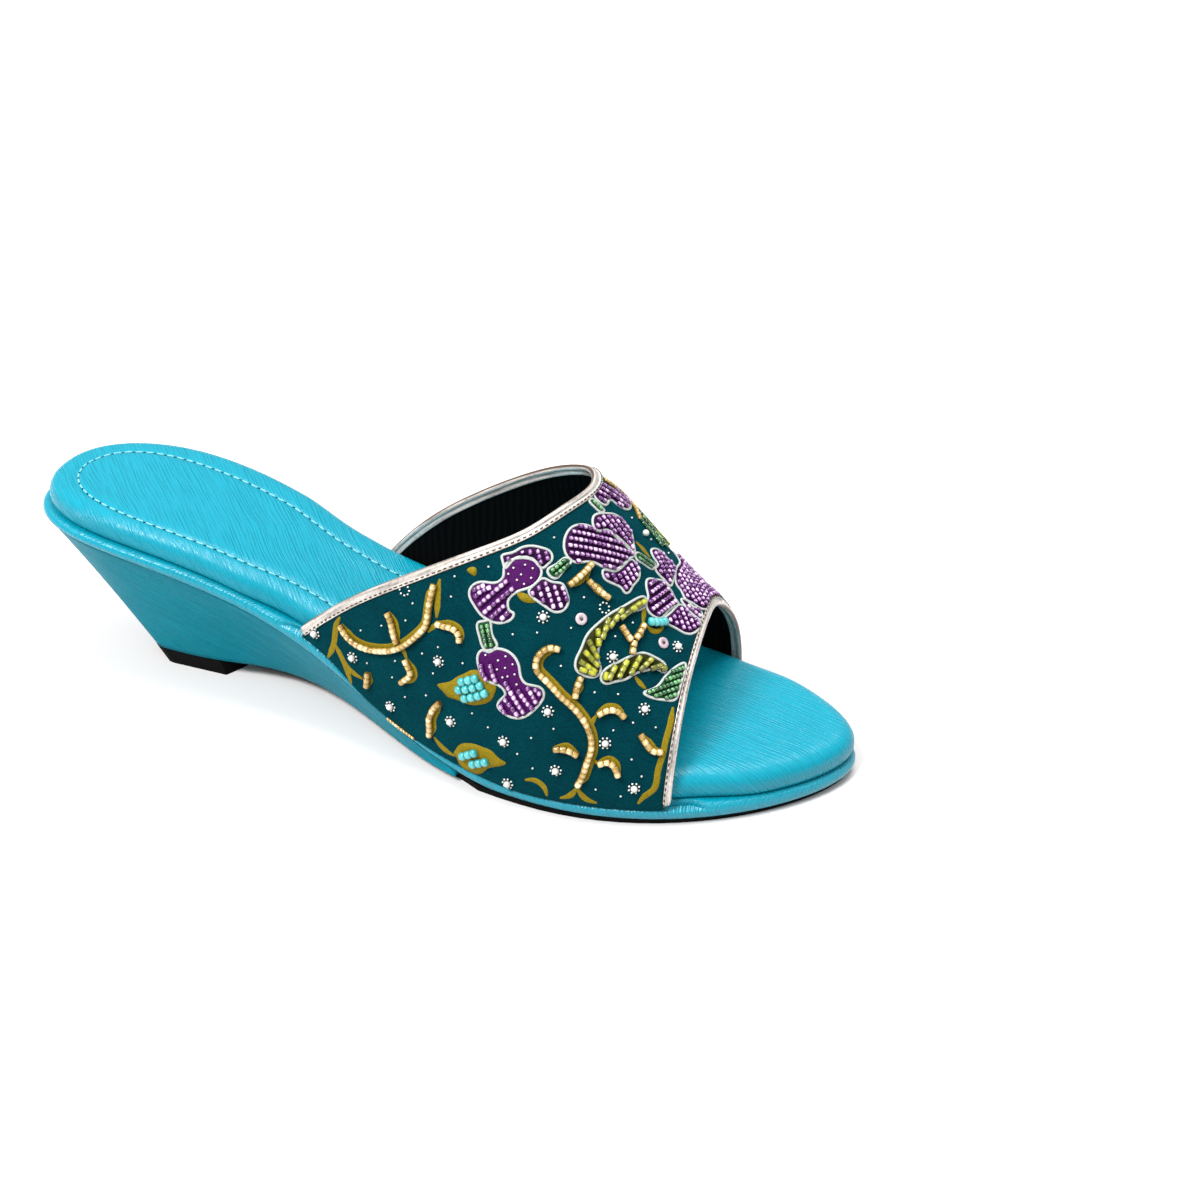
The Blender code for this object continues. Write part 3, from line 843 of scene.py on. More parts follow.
def rand_layer(part, above_step):
    """One layer of the rand: part is its share of the height below or above the vamp's step."""
    def height_share(x):
        tall = seat(x) - rand_foot(x)
        lapped = (tall - lap_depth(x) - LAP_CLEARANCE) / tall
        lapped = np.clip(lapped, RAND_STEP_LOWEST, RAND_STEP_HIGHEST)
        step = RAND_STEP_SHARE + (lapped - RAND_STEP_SHARE) * under_vamp(x)
        return step + (1.0 - step) * part if above_step else step * part

    def inset(x):
        roll = RAND_ROLL * (1.0 - np.sqrt(1.0 - (2.0 * height_share(x) - 1.0) ** 2)) - heel_proud(x)
        stepped = np.maximum(WALL + 2.0 * GAP - roll, 0.0) * under_vamp(x)
        return roll + stepped if above_step else roll

    layer = []
    for side in plan_sides(inset):
        x = side[:, 0]
        foot = rand_foot(x)
        height = foot + (seat(x) - foot) * height_share(x)
        grain = turned(np.column_stack([path_run(side), height]), RAND_GRAIN_TURN)
        layer.append(np.column_stack([side, height, grain]))
    return layer


def make_rand(material):
    layers = [rand_layer(part, False) for part in RAND_PARTS_BELOW]
    layers += [rand_layer(part, True) for part in RAND_PARTS_ABOVE]
    points, faces, _ = plate(layers)
    piece = make_cover("rand_cover", points, faces, material)
    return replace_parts(piece, "midsole_rand")


# The wedge: ruled from under the rand down to the small heel and the outsole
def foot_half_width(x):
    """Half the width of the wedge's underside, rounded at the back of the heel."""
    back = part_way(x, LIFT_BACK_X, LIFT_BACK_X + HEEL_BACK_ROUND)
    rounding = (1.0 - (1.0 - back) ** HEEL_BACK_FULLNESS) ** (1.0 / HEEL_BACK_FULLNESS)
    return spline(column(WEDGE_FOOT, "x"), column(WEDGE_FOOT, "half_width"), x) * rounding


def foot_centre(x):
    return spline(column(WEDGE_FOOT, "x"), column(WEDGE_FOOT, "centre"), x)


def wedge_top_inset(x):
    """How far the wedge's top lies in from the sole's outline; it flares out round the back of the heel."""
    return WEDGE_TOP_INSET - WEDGE_HEEL_FLARE * part_way(x, WEDGE_FLARE_RUN, 0.0)


def make_wedge(material):
    plan = plan_sides(wedge_top_inset)
    rulings = []
    for sign, side in zip((-1.0, 1.0), cut_sides(plan, wedge_top_inset(0.0), WEDGE_FRONT_X)):
        top_x = side[:, 0]
        top = raised(side, rand_foot(top_x) - GAP)
        share = (top_x - top_x[0]) / (top_x[-1] - top_x[0])
        foot_x = LIFT_BACK_X + (WEDGE_FRONT_X - LIFT_BACK_X) * share
        foot_y = foot_centre(foot_x) + sign * foot_half_width(foot_x)
        foot = raised(np.column_stack([foot_x, foot_y]), outsole_top(foot_x) + GAP)
        rulings.append((top, foot, sign, path_run(side)))
    layers = []
    for rise in np.linspace(0.0, 1.0, WEDGE_LAYERS):
        layer = []
        for top, foot, sign, run in rulings:
            side = foot + (top - foot) * rise
            side[1:, 1] -= sign * WEDGE_HOLLOW * 4.0 * rise * (1.0 - rise)
            grain = turned(np.column_stack([-sign * run, side[:, 2]]), WEDGE_GRAIN_TURN)
            layer.append(np.column_stack([side, grain]))
        layers.append(layer)
    points, faces, _ = plate(layers)
    piece = make_cover("wedge_cover", points, faces, material)
    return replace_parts(piece, "wedge")


# The vamp
def last_fullness(x, across):
    return np.where(across < 0.0, read(LAST, "outer_fullness", x), read(LAST, "inner_fullness", x))


def last_surface(x, across):
    """Point of the last at x and at a turn across it, from its outer base (-1) to its inner (1)."""
    turn = np.abs(across) * np.pi / 2.0
    fullness = last_fullness(x, across)
    out = np.sin(turn) ** (2.0 / fullness)
    up = np.clip(np.cos(turn), 0.0, 1.0) ** (2.0 / fullness)
    y = centre(x) + np.sign(across) * half_width(x) * out + read(LAST, "ridge", x) * (1.0 - out)
    return np.stack([x, y, seat(x) + read(LAST, "rise", x) * up], axis=-1)


def vamp_edges(across):
    """Where the collar and the toe opening lie along the shoe, at turns across the last."""
    turns = column(OPENING, "across")
    return [spline(turns, column(OPENING, name), across) for name in ("collar_x", "toe_x")]


def vamp_walls():
    """Grids of points on the vamp's outer and inner face, and the normals of the outer one."""
    across = np.linspace(-1.0, 1.0, ARCH_STEPS + 1)
    collar, toe = vamp_edges(across)
    along = np.linspace(0.0, 1.0, VAMP_STEPS + 1)
    x = collar[:, None] + (toe - collar)[:, None] * along
    arch = last_surface(x, np.broadcast_to(across[:, None], x.shape))
    hems = []
    for row in (arch[0], arch[-1]):
        for step in range(HEM_STEPS, 0, -1):
            hem = row.copy()
            hem[:, 2] -= lap_depth(hem[:, 0]) * step / HEM_STEPS
            hems.append(hem)
    outer = np.concatenate([hems[:HEM_STEPS], arch, hems[:HEM_STEPS - 1:-1]])
    normals = unit(np.cross(np.gradient(outer, axis=1), np.gradient(outer, axis=0)))
    normals *= np.sign(normals[len(normals) // 2, 0, 2])
    return outer, outer - normals * WALL, normals


def make_upper(cloth, inside):
    """The vamp: velvet outside and round the lower edges, black lining inside."""
    outer, inner, _ = vamp_walls()
    rows, columns = outer.shape[:2]
    index = number_grid(rows, columns)
    under = index + rows * columns
    outside = grid_faces(index)
    edges = []
    for face, back in ((index, under), (index.T, under.T)):
        edges += grid_faces([face[0], back[0]]) + grid_faces([face[-1], back[-1]])
    lined = grid_faces(under)
    faces = outside + edges + lined
    face_materials = [0] * (len(outside) + len(edges)) + [1] * len(lined)
    points = np.concatenate([outer.reshape(-1, 3), inner.reshape(-1, 3)])
    girth = np.cumsum(np.linalg.norm(np.diff(outer, axis=0, prepend=outer[:1]), axis=2), axis=0)
    grain = np.stack([outer[:, :, 0], girth, np.zeros((rows, columns))], axis=-1).reshape(-1, 3)
    grain = np.concatenate([grain, grain])
    piece = make_piece("vamp", points, faces, [cloth, inside], "velvet", face_materials, grain=grain)
    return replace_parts(piece, "upper")


# The piping: a round bead at the edge, with a sewn strip outside and a turned-in band inside
COLLAR_EDGE = 0
TOE_EDGE = -1
FILM_RADIUS = 0.88
FILM_TURN = np.radians(128.0)
FILM_STEPS = 23
RIM_WIDTH = 0.16
# Painted shade along the strip's outer edge, where it meets the velvet
STRIP_EDGE_SHADE = 0.8
COLLAR_STRIP = 0.75
TOE_STRIP = 0.5
STRIP_RISE = 0.42
BAND_WIDTH = 0.8
BAND_RISE = 0.3
WALL_HALF = WALL / 2.0 + 0.02
PIPING_STITCH_PITCH = 1.75
PIPING_STITCH_OFF = -0.15
PIPING_STITCH_SIZE = (1.1, 0.42, 0.3)
PIPING_STITCH_SINK = 0.14
PIPING_END_RUN = 2.2
PIPING_END_SIZE = 0.25


def piping_profile(strip):
    """The piping's section, as distances beyond the edge and out from the middle of the wall."""
    bead = FILM_RADIUS + GAP
    turn = np.linspace(FILM_TURN, -FILM_TURN, FILM_STEPS)
    outside = [
        (-strip, WALL_HALF),
        (-strip - 0.05, WALL_HALF + 0.5 * STRIP_RISE),
        (-0.8 * strip, WALL_HALF + STRIP_RISE),
        (-0.5 * strip, WALL_HALF + 1.15 * STRIP_RISE),
        (-0.2 * strip, WALL_HALF + 0.9 * STRIP_RISE),
        (0.15, WALL_HALF + 0.35 * STRIP_RISE),
    ]
    arc = [(bead + FILM_RADIUS * np.cos(t), FILM_RADIUS * np.sin(t)) for t in turn]
    inside = [
        (0.1, -WALL_HALF - 0.3 * BAND_RISE),
        (-0.4, -WALL_HALF - BAND_RISE),
        (-BAND_WIDTH + 0.2, -WALL_HALF - BAND_RISE),
        (-BAND_WIDTH, -WALL_HALF),
        (0.05, -WALL_HALF),
        (0.05, WALL_HALF),
    ]
    return np.array(outside + arc + inside), len(outside), len(arc)


def edge_frame(edge):
    """Path along one edge of the vamp, its normals and the directions away from the vamp."""
    outer, inner, normals = (grid[HEM_STEPS:-HEM_STEPS] for grid in vamp_walls())
    beside = edge + 1 if edge == COLLAR_EDGE else edge - 1
    middle = (outer[:, edge] + inner[:, edge]) / 2.0
    inside = (outer[:, beside] + inner[:, beside]) / 2.0
    normal = normals[:, edge]
    off = unit(np.cross(np.gradient(middle, axis=0), normal))
    off *= np.sign(np.sum(off * (middle - inside), axis=1))[:, None]
    return middle, normal, off


def make_piping(name, node, edge, strip, material):
    path, normal, off = edge_frame(edge)
    profile, first, count = piping_profile(strip)
    run = path_run(path)
    size = np.sqrt(1.0 - (1.0 - end_way(run, PIPING_END_RUN)) ** 2)
    size = PIPING_END_SIZE + (1.0 - PIPING_END_SIZE) * size
    heart = np.array([FILM_RADIUS + GAP, 0.0])
    rim = np.zeros(len(profile))
    # A darker brown line along the bead's outer tip
    rim[first:first + count] = np.exp(-(np.linspace(-1.0, 1.0, count) / RIM_WIDTH) ** 2)
    # Painted shade along the strip's outer edge, where it meets the velvet
    rim[:2] = STRIP_EDGE_SHADE
    points = []
    grain = []
    lengths = path_run(profile)
    for place, up, away, along, scale in zip(path, normal, off, run, size):
        section = heart + (profile - heart) * scale
        points.append(place + section[:, :1] * away + section[:, 1:] * up)
        grain.append(np.column_stack([np.full(len(lengths), along), lengths, np.zeros(len(lengths))]))
    faces = tube_faces(number_grid(len(points), len(profile)))
    piece = make_piece(
        name, np.vstack(points), faces, [material], "piping",
        grain=np.vstack(grain), rim=np.tile(rim, len(points)),
    )
    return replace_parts(piece, node)


# Small repeated things, made as one mesh from arrays
def lathe(profile, segments):
    """Points and faces of a closed turned shape about X, from (along, radius) pairs."""
    turns = np.arange(segments) * 2.0 * np.pi / segments
    rings = [
        np.column_stack([np.full(segments, along), radius * np.cos(turns), radius * np.sin(turns)])
        for along, radius in profile[1:-1]
    ]
    points = np.vstack([*rings, [[profile[0][0], 0.0, 0.0]], [[profile[-1][0], 0.0, 0.0]]])
    index = number_grid(len(rings), segments)
    faces = grid_faces(np.column_stack([index, index[:, :1]]))
    start, end = len(points) - 2, len(points) - 1
    for k in range(segments):
        faces.append([int(index[0, k - 1]), int(index[0, k]), start])
        faces.append([int(index[-1, k]), int(index[-1, k - 1]), end])
    return points, faces


def both_ends(half, segments):
    """A turned shape that is the same at both ends, from the first half of its profile."""
    return lathe([*half, *((-along, radius) for along, radius in half[::-1] if along < 0.0)], segments)


CUT_BEAD = both_ends([(-0.4, 0.0), (-0.5, 0.32), (-0.42, 0.47), (0.0, 0.5)], 8)
ROUND_BEAD = lathe([(-0.5 * np.cos(t), 0.5 * np.sin(t)) for t in np.linspace(0.0, np.pi, 8)], 9)
CAPSULE = both_ends([(-0.5, 0.0), (-0.46, 0.26), (-0.36, 0.42), (-0.2, 0.5)], 8)
TUBE_BEAD = both_ends([(-0.5, 0.0), (-0.5, 0.45), (-0.4, 0.49), (0.0, 0.5)], 8)
CUSHION = both_ends([(-0.5, 0.0), (-0.48, 0.28), (-0.38, 0.43), (-0.15, 0.5)], 10)
WASHER = both_ends([
    (-0.08, 0.0), (-0.1, 0.14), (-0.28, 0.18), (-0.42, 0.28), (-0.42, 0.36), (-0.3, 0.47), (0.0, 0.5),
], 14)

# How much the tint and the painted highlight vary from one copy to the next, and the highlight's shape
TINT_MOST = 0.7
HIGHLIGHT_LEAST = 0.4
HIGHLIGHT_MOST = 1.05
HIGHLIGHT_POWER = 1.8
HIGHLIGHT_FADE = 1.1

Placed = namedtuple("Placed", "places along up size")


def make_copies(name, template, groups, material, slot):
    """One mesh of copies of a template: size holds their length, breadth and height."""
    points, faces = template
    places, along, up = (np.vstack(column(groups, name)) for name in ("places", "along", "up"))
    size = np.vstack([np.broadcast_to(group.size, group.places.shape) for group in groups])
    along = unit(along)
    side = unit(np.cross(up, along))
    up = np.cross(along, side)
    scaled = points[None] * size[:, None]
    axes = np.stack([along, side, up], axis=1)
    made = places[:, None] + np.einsum("kvi,kij->kvj", scaled, axes)
    count = len(points)
    numbered = [
        [corner + k * count for corner in face] for k in range(len(places)) for face in faces
    ]
    tint = np.repeat(RNG.uniform(0.0, TINT_MOST, len(places)), count)
    # Painted highlight, paler on the top middle of each copy and stronger on some copies than others
    heart = np.clip(2.0 * points[:, 2], 0.0, 1.0) ** HIGHLIGHT_POWER * (1.0 - HIGHLIGHT_FADE * np.abs(points[:, 0]))
    hearts = RNG.uniform(HIGHLIGHT_LEAST, HIGHLIGHT_MOST, len(places))[:, None] * heart
    made = made.reshape(-1, 3)
    return make_piece(name, made, numbered, [material], slot, grain=made, tint=tint, heart=hearts.ravel())


def along_path(path, up, pitch, length, breadth, height, sink=0.0, start=0.5):
    """Copies strung along a path of points at a pitch, lying on the surface with normals up."""
    run = path_run(path)
    at = np.arange(start * pitch, run[-1], pitch)

    def at_pitch(rows):
        return np.column_stack([np.interp(at, run, values) for values in rows.T])

    ups = unit(at_pitch(up))
    tangents = unit(at_pitch(np.gradient(path, run, axis=0)))
    places = at_pitch(path) + ups * (height / 2.0 - sink)
    return Placed(places, tangents, ups, np.array([length, breadth, height]))


def make_insole_stitches(thread, hole_shade):
    """Running stitch along the pad's trough, with a dark mark of painted shade for the needle hole between
    each two stitches.
    """
    kept = [side[side[:, 0] < STITCH_END_X - STITCH_FADE / 2.0] for side in pad_sides(stitch_inset)]
    line = np.vstack([kept[0][::-1], kept[1][1:]])
    path = raised(line, seat(line[:, 0]) + pad_height(line))
    slope = np.gradient(seat(line[:, 0]), line[:, 0], edge_order=1)
    up = unit(np.column_stack([-slope, np.zeros(len(line)), np.ones(len(line))]))
    sewn = along_path(path, up, STITCH_PITCH, *STITCH_SIZE, sink=STITCH_SINK)
    make_copies("insole_stitches", CAPSULE, [sewn], thread, "thread")
    # Dark marks of painted shade where the needle holes lie
    pricked = along_path(path, up, STITCH_PITCH, *NEEDLE_HOLE_SIZE, sink=NEEDLE_HOLE_SINK, start=1.0)
    make_copies("insole_needle_hole_shade", CAPSULE, [pricked], hole_shade, "cover")


def make_piping_stitches(name, edge, material):
    """Dark stitches in the groove between the piping's bead and its strip."""
    path, normal, off = edge_frame(edge)
    line = path + off * PIPING_STITCH_OFF + normal * (WALL_HALF + STRIP_RISE)
    sewn = along_path(line, normal, PIPING_STITCH_PITCH, *PIPING_STITCH_SIZE, sink=PIPING_STITCH_SINK)
    make_copies(name, CAPSULE, [sewn], material, "thread")


# The camera and where its rays meet the vamp
def camera_axes():
    """The camera's right, up and backward directions."""
    aside, ahead = np.sin(CAMERA_AZIMUTH), np.cos(CAMERA_AZIMUTH)
    back = np.array([aside, -ahead, 0.0]) * np.cos(CAMERA_ELEVATION) + UPWARD * np.sin(CAMERA_ELEVATION)
    right = np.array([ahead, aside, 0.0])
    up = np.cross(back, right)
    turn = np.cos(CAMERA_ROLL), np.sin(CAMERA_ROLL)
    return right * turn[0] + up * turn[1], up * turn[0] - right * turn[1], back


RIGHT, UP, BACK = camera_axes()
EYE = CAMERA_TARGET + CAMERA_DISTANCE * BACK - CAMERA_SLIDE_RIGHT * RIGHT - CAMERA_SLIDE_UP * UP


def make_camera():
    data = bpy.data.cameras.new("camera")
    data.sensor_width = SENSOR_WIDTH
    data.lens = FOCAL_PIXELS / PHOTO_SIZE * SENSOR_WIDTH
    data.clip_start = CLIP_START
    camera = link_object("camera", data)
    place = Matrix(np.column_stack([RIGHT, UP, BACK]).tolist()).to_4x4()
    place.translation = Vector((EYE - ORIGIN) * MILLIMETRE)
    camera.matrix_world = place
    bpy.context.scene.camera = camera


VAMP_OUTER, _, VAMP_NORMALS = vamp_walls()
VAMP_POINTS = VAMP_OUTER.reshape(-1, 3)
VAMP_TREE = BVHTree.FromPolygons(VAMP_POINTS.tolist(), grid_faces(number_grid(*VAMP_OUTER.shape[:2])))


def photo_pixels(points):
    """Where points of the shoe lie in the photograph."""
    seen = points - EYE
    depth = -(seen @ BACK)
    across = PHOTO_SIZE / 2.0 + (seen @ RIGHT) * FOCAL_PIXELS / depth
    down = PHOTO_SIZE / 2.0 - (seen @ UP) * FOCAL_PIXELS / depth
    return np.column_stack([across, down])


FACING = np.einsum("ij,ij->i", VAMP_NORMALS.reshape(-1, 3), EYE - VAMP_POINTS) > 0.0
FACING_POINTS = VAMP_POINTS[FACING]
FACING_PIXELS = photo_pixels(FACING_POINTS)


def on_vamp(pixels):
    """Points of the vamp at pixels of the photograph, or its nearest seen point beside it."""
    found = []
    for across, down in pixels:
        ray = -BACK + RIGHT * (across - PHOTO_SIZE / 2.0) / FOCAL_PIXELS
        ray -= UP * (down - PHOTO_SIZE / 2.0) / FOCAL_PIXELS
        place, *_ = VAMP_TREE.ray_cast(Vector(EYE), Vector(ray))
        if place is None:
            place = FACING_POINTS[np.argmin(np.hypot(*(FACING_PIXELS - (across, down)).T))]
        found.append(place)
    return np.array(found, float)


# Places on the vamp
def vamp_coordinates(points):
    """Share of the way from collar to toe opening, turn across, and drop below the last's base."""
    x, y, z = points.T
    ridge = read(LAST, "ridge", x)
    from_ridge = y - centre(x) - ridge
    sign = np.where(from_ridge > 0.0, 1.0, -1.0)
    out = np.clip(from_ridge / (sign * half_width(x) - ridge), 0.0, 1.0)
    across = sign * np.arcsin(out ** (last_fullness(x, sign) / 2.0)) * 2.0 / np.pi
    collar, toe = vamp_edges(across)
    return (x - collar) / (toe - collar), across, np.maximum(seat(x) - z, 0.0)


def vamp_places(share, across, drop=0.0):
    collar, toe = vamp_edges(across)
    points = last_surface(collar + (toe - collar) * share, across)
    points[:, 2] -= drop
    return points


def mirrored(points):
    """The same places on the other side of the vamp's ridge."""
    share, across, drop = vamp_coordinates(points)
    return vamp_places(share, -across, drop)


def vamp_normals(points):
    share, across, _ = vamp_coordinates(points)
    step = NORMAL_STEP
    across = np.clip(across, -1.0 + step, 1.0 - step)
    forward = vamp_places(share + step, across) - vamp_places(share - step, across)
    sideways = vamp_places(share, across + step) - vamp_places(share, across - step)
    return unit(np.cross(forward, sideways))


def snapped(points):
    return np.array([VAMP_TREE.find_nearest(Vector(point))[0] for point in points], float)


def smooth_path(points, step=0.5, closed=False):
    """A smooth curve on the vamp through points, in even steps."""
    if closed:
        points = np.vstack([points[-3:], points, points[:4]])
    run = path_run(points)
    start, end = (run[3], run[-4]) if closed else (run[0], run[-1])
    count = max(int((end - start) / step), 4)
    at = np.linspace(start, end, count + 1)
    if closed:
        at = at[:-1]
    return snapped(np.column_stack([spline(run, points[:, k], at) for k in range(3)]))


# The embroidery: its places are pixels across and down the photograph, read one by one
Petal = namedtuple("Petal", "row_direction outline")
Strands = namedtuple("Strands", "count lean start_edge end_edge")

PURPLE_PETALS_ON_TOP = [
    Petal((25, 90), [
        (503, 562), (502, 556), (511, 553), (521, 548), (531, 546), (542, 548), (551, 553), (552, 559),
        (547, 565), (543, 568), (540, 567), (534, 560), (524, 557), (513, 560), (505, 568),
    ]),
    Petal((55, 160), [
        (529, 591), (535, 584), (543, 578.5), (552, 582), (562, 584), (566.5, 592.5), (568, 603), (562, 611),
        (555, 612), (546, 607), (537.5, 601),
    ]),
    Petal((560, 130), [
        (564, 543), (566, 535), (571, 528), (578, 525), (587, 525.5), (592.5, 528), (597, 531), (603, 531),
        (609, 532), (616, 538), (623, 544), (630.5, 551), (634, 554), (629, 559), (624, 564), (617.5, 569),
        (612, 571), (607, 569), (601, 566), (595, 563), (585, 562), (574, 562), (569, 558.5), (565, 552),
    ]),
    Petal((220, 280), [
        (592.5, 522), (594, 516), (598, 514), (607, 513.6), (615, 515), (623, 521), (628, 528), (632, 536),
        (633, 543), (634, 552), (630.5, 549), (624, 543), (617.5, 537), (611, 532), (605.5, 530), (599, 531),
        (595, 529),
    ]),
    Petal((90, 170), [
        (603, 570.5), (608, 570.5), (614, 571.6), (621, 568), (626, 563), (632, 560), (636, 564),
        (639, 570.5), (639, 577), (636, 582), (632, 587), (629, 592), (625, 593), (622, 589), (616, 585),
        (609, 582), (604, 578),
    ]),
    Petal((140, 260), [
        (651, 551), (654, 549), (661, 552), (667, 558.5), (673, 565), (675, 574), (673, 580), (669.5, 586),
        (664, 580), (658, 574), (655, 569), (658, 565), (654, 558.5),
    ]),
    Petal((150, -110), [
        (646, 585), (647, 580), (652, 579), (658, 580), (664, 582), (668, 587), (672, 593), (675, 599),
        (678, 603), (673, 607), (666, 613), (660, 618), (653, 616), (648, 611), (646, 604), (648, 598),
        (647, 591),
    ]),
    Petal((70, 170), [
        (664, 620), (668, 615), (675, 608), (680, 605), (686, 608), (690, 614), (697, 619), (701, 625),
        (698, 630), (691, 634), (684, 633), (677, 629), (671, 626),
    ]),
    Petal((130, 110), [
        (681, 600), (687, 601), (693, 607), (699, 609.5), (702, 615), (701, 620), (695.5, 617), (690, 612),
        (685, 606),
    ]),
    Petal((250, 340), [
        (675, 576), (677, 567), (678, 558.5), (675, 551), (682.5, 556), (690, 563), (699, 570.5), (706, 578),
        (713, 586), (717, 592), (712, 601), (705, 609.5), (699, 608), (692, 603), (685, 599), (681, 591),
        (677, 586),
    ]),
    Petal((200, 130), [
        (594, 496), (598, 486), (603, 484), (611, 488.5), (620, 494), (628, 500), (629, 509), (624, 509),
        (616, 504), (610, 500), (606, 505), (599.5, 502.5),
    ]),
]
ORCHID_ON_TOP = [
    (469.5, 591.5), (474, 584.5), (483, 582), (493, 583), (499, 581.5), (503.5, 576), (504, 568.5),
    (508, 562), (514, 559), (523, 558), (531.5, 559.5), (538.5, 564.5), (541.5, 571.5), (539, 579.5),
    (534, 585), (527, 588.5), (520, 590.5), (513, 594.5), (508.5, 600), (508, 606.5), (510.5, 611.5),
    (513.5, 613), (513, 617), (507, 621.5), (498.5, 623), (490, 620.5), (481.5, 615), (474.5, 605.5),
    (470.5, 598.5),
]
ORCHID_ON_TOP_ROWS = [
    [(473.5, 590.5), (479, 587.5), (486, 585)],
    [(475, 597), (483, 590.5), (492, 587)],
    [(479, 605), (493, 593), (508, 580)],
    [(484, 613), (499, 600), (514, 587.5)],
    [(491, 617.5), (498.5, 611), (505.5, 604.5)],
    [(501, 619.5), (505.5, 615), (509, 611)],
]
ORCHID_ON_TOP_DOTS = [
    (513.5, 568), (525, 565), (532.5, 568.5), (521, 574.6), (508.5, 574), (531, 578), (517, 580), (524, 584),
]
ORCHID_ON_SIDE = [
    (479, 653), (483, 650), (489, 652), (495, 649), (501, 649), (509, 652), (516, 659), (519, 666),
    (521, 677), (525, 683), (533, 685.5), (543, 690), (544, 694), (540, 703.5), (533, 711), (526, 716),
    (518, 718), (510, 716.5), (502.5, 712), (498, 706.5), (500.6, 700), (505.5, 693.5), (502.5, 688),
    (496, 684), (488, 681), (482, 675), (479, 667),
]
ORCHID_ON_SIDE_ROWS = [
    [(505, 680.5), (514, 696), (525, 713)],
    [(518, 689), (526, 700), (533.5, 709)],
    [(504.5, 697), (511, 705), (519, 715.5)],
    [(527, 686), (533, 695), (537, 703)],
    [(501, 703.5), (503, 709), (507, 713)],
    [(534, 688), (538, 691), (541, 695)],
    [(481.5, 663), (483, 672), (488, 680)],
    [(490.5, 663), (493, 672), (497, 682)],
]
ORCHID_ON_SIDE_DOTS = [
    (486, 654.5), (498.6, 660), (506, 656), (513, 664), (505.5, 667.5), (497.5, 669), (515, 674), (503, 677),
    (508, 676), (517, 684),
]
GREEN_STEMS_ON_TOP = [
    Petal((16, -13), [
        (547.5, 571), (557, 564), (566, 558), (571, 560), (568, 566), (563, 571), (555, 578.5), (551, 577),
    ]),
    Petal((17, 12), [(635, 554), (638, 553), (647, 559), (655, 565), (653, 569), (642, 563), (636, 559)]),
    Petal((13, 12), [(589, 501), (592, 499), (598, 504), (604, 511), (600, 512), (594, 507)]),
]
GREEN_STEM_ON_SIDE = Petal((6, 28), [
    (479, 622), (484, 621), (489, 620), (492, 634), (497, 646), (490, 650), (485, 649), (480, 638),
])
GREEN_LEAF_ON_SIDE = Petal((170, -60), [
    (644, 693), (653, 689), (664, 678), (672, 670), (685, 663.5), (682, 680), (678.5, 693), (675, 699.5),
    (665.5, 700), (653, 698),
])
CREST_STRANDS = {
    "gold": [[(604, 481), (612, 487), (621, 494), (631, 504)], [(631, 504), (635, 511), (639, 521)]],
    "leaf": [[(635, 505), (643, 514), (652, 525), (661, 536), (668, 546)]],
    "green": [
        [(636, 510), (643, 520), (651, 530), (659, 540), (666, 549)],
        [(638, 519), (644, 527), (652, 536), (661, 548)],
    ],
}
CREST_PEARL = [(644, 534)]
LEAF_STRANDS = [
    Strands(
        9, 0.24,
        [(646, 600), (626, 605), (610, 614), (597, 624.5), (586, 637), (581, 649), (576, 660), (576, 669),
         (583, 675)],
        [(646, 603), (630, 612), (616.5, 621), (606, 631), (600, 643), (598, 650.5), (599, 663),
         (600.5, 670), (598, 675)],
    ),
    Strands(
        7, 0.28,
        [(604, 683), (613.5, 682), (626, 679), (635, 673.5), (647, 670), (659, 670), (665, 672)],
        [(601, 679), (606, 669), (616.5, 663), (629, 657), (643, 653), (656, 658), (666, 668)],
    ),
]
GOLD_VINES_ON_SIDE = [
    [(341, 624), (347, 634), (354, 641), (365, 647), (380, 650), (395, 649), (408, 643), (419, 634),
     (427, 624), (429, 614), (431, 600), (435, 584)],
    [(388, 612), (392, 621), (394, 630), (398, 643)],
    [(437, 623), (446, 626), (455, 629), (460, 636), (460, 642)],
    [(406, 658.5), (409.5, 666), (412, 673), (408, 678), (402, 682)],
    [(369, 672), (368.5, 679), (368, 686)],
    [(559.5, 650), (550, 648), (541, 653), (536.5, 661), (536.5, 668), (543, 677), (552, 686), (561, 696),
     (570, 704), (581, 716), (587.5, 727), (591, 738), (591, 750), (587.5, 761), (583, 774.5), (577.5, 785)],
    [(581, 676.5), (577, 687), (575, 698)],
    [(597, 715), (609, 710), (618, 712), (624, 718)],
    [(554, 748.5), (566, 749), (578, 755)],
    [(598, 764), (609, 762), (615, 768), (618, 776)],
    [(640, 734), (646, 744), (653, 751), (662, 751.5)],
    [(441, 702), (436, 706.5), (432, 713.5), (430.5, 719), (431, 726), (430.5, 735)],
]
HEM_SLIVER = [(387, 720), (398, 727.5), (413, 738)]
GOLD_VINES_ON_TOP = [
    [(591, 564), (584, 572), (568, 586)],
    [(587, 581), (596, 590), (608, 599)],
    [(620, 626), (625, 634), (630, 641)],
    [(643, 624.5), (639, 632), (634, 640)],
    [(633, 641), (632, 648), (631, 655)],
]
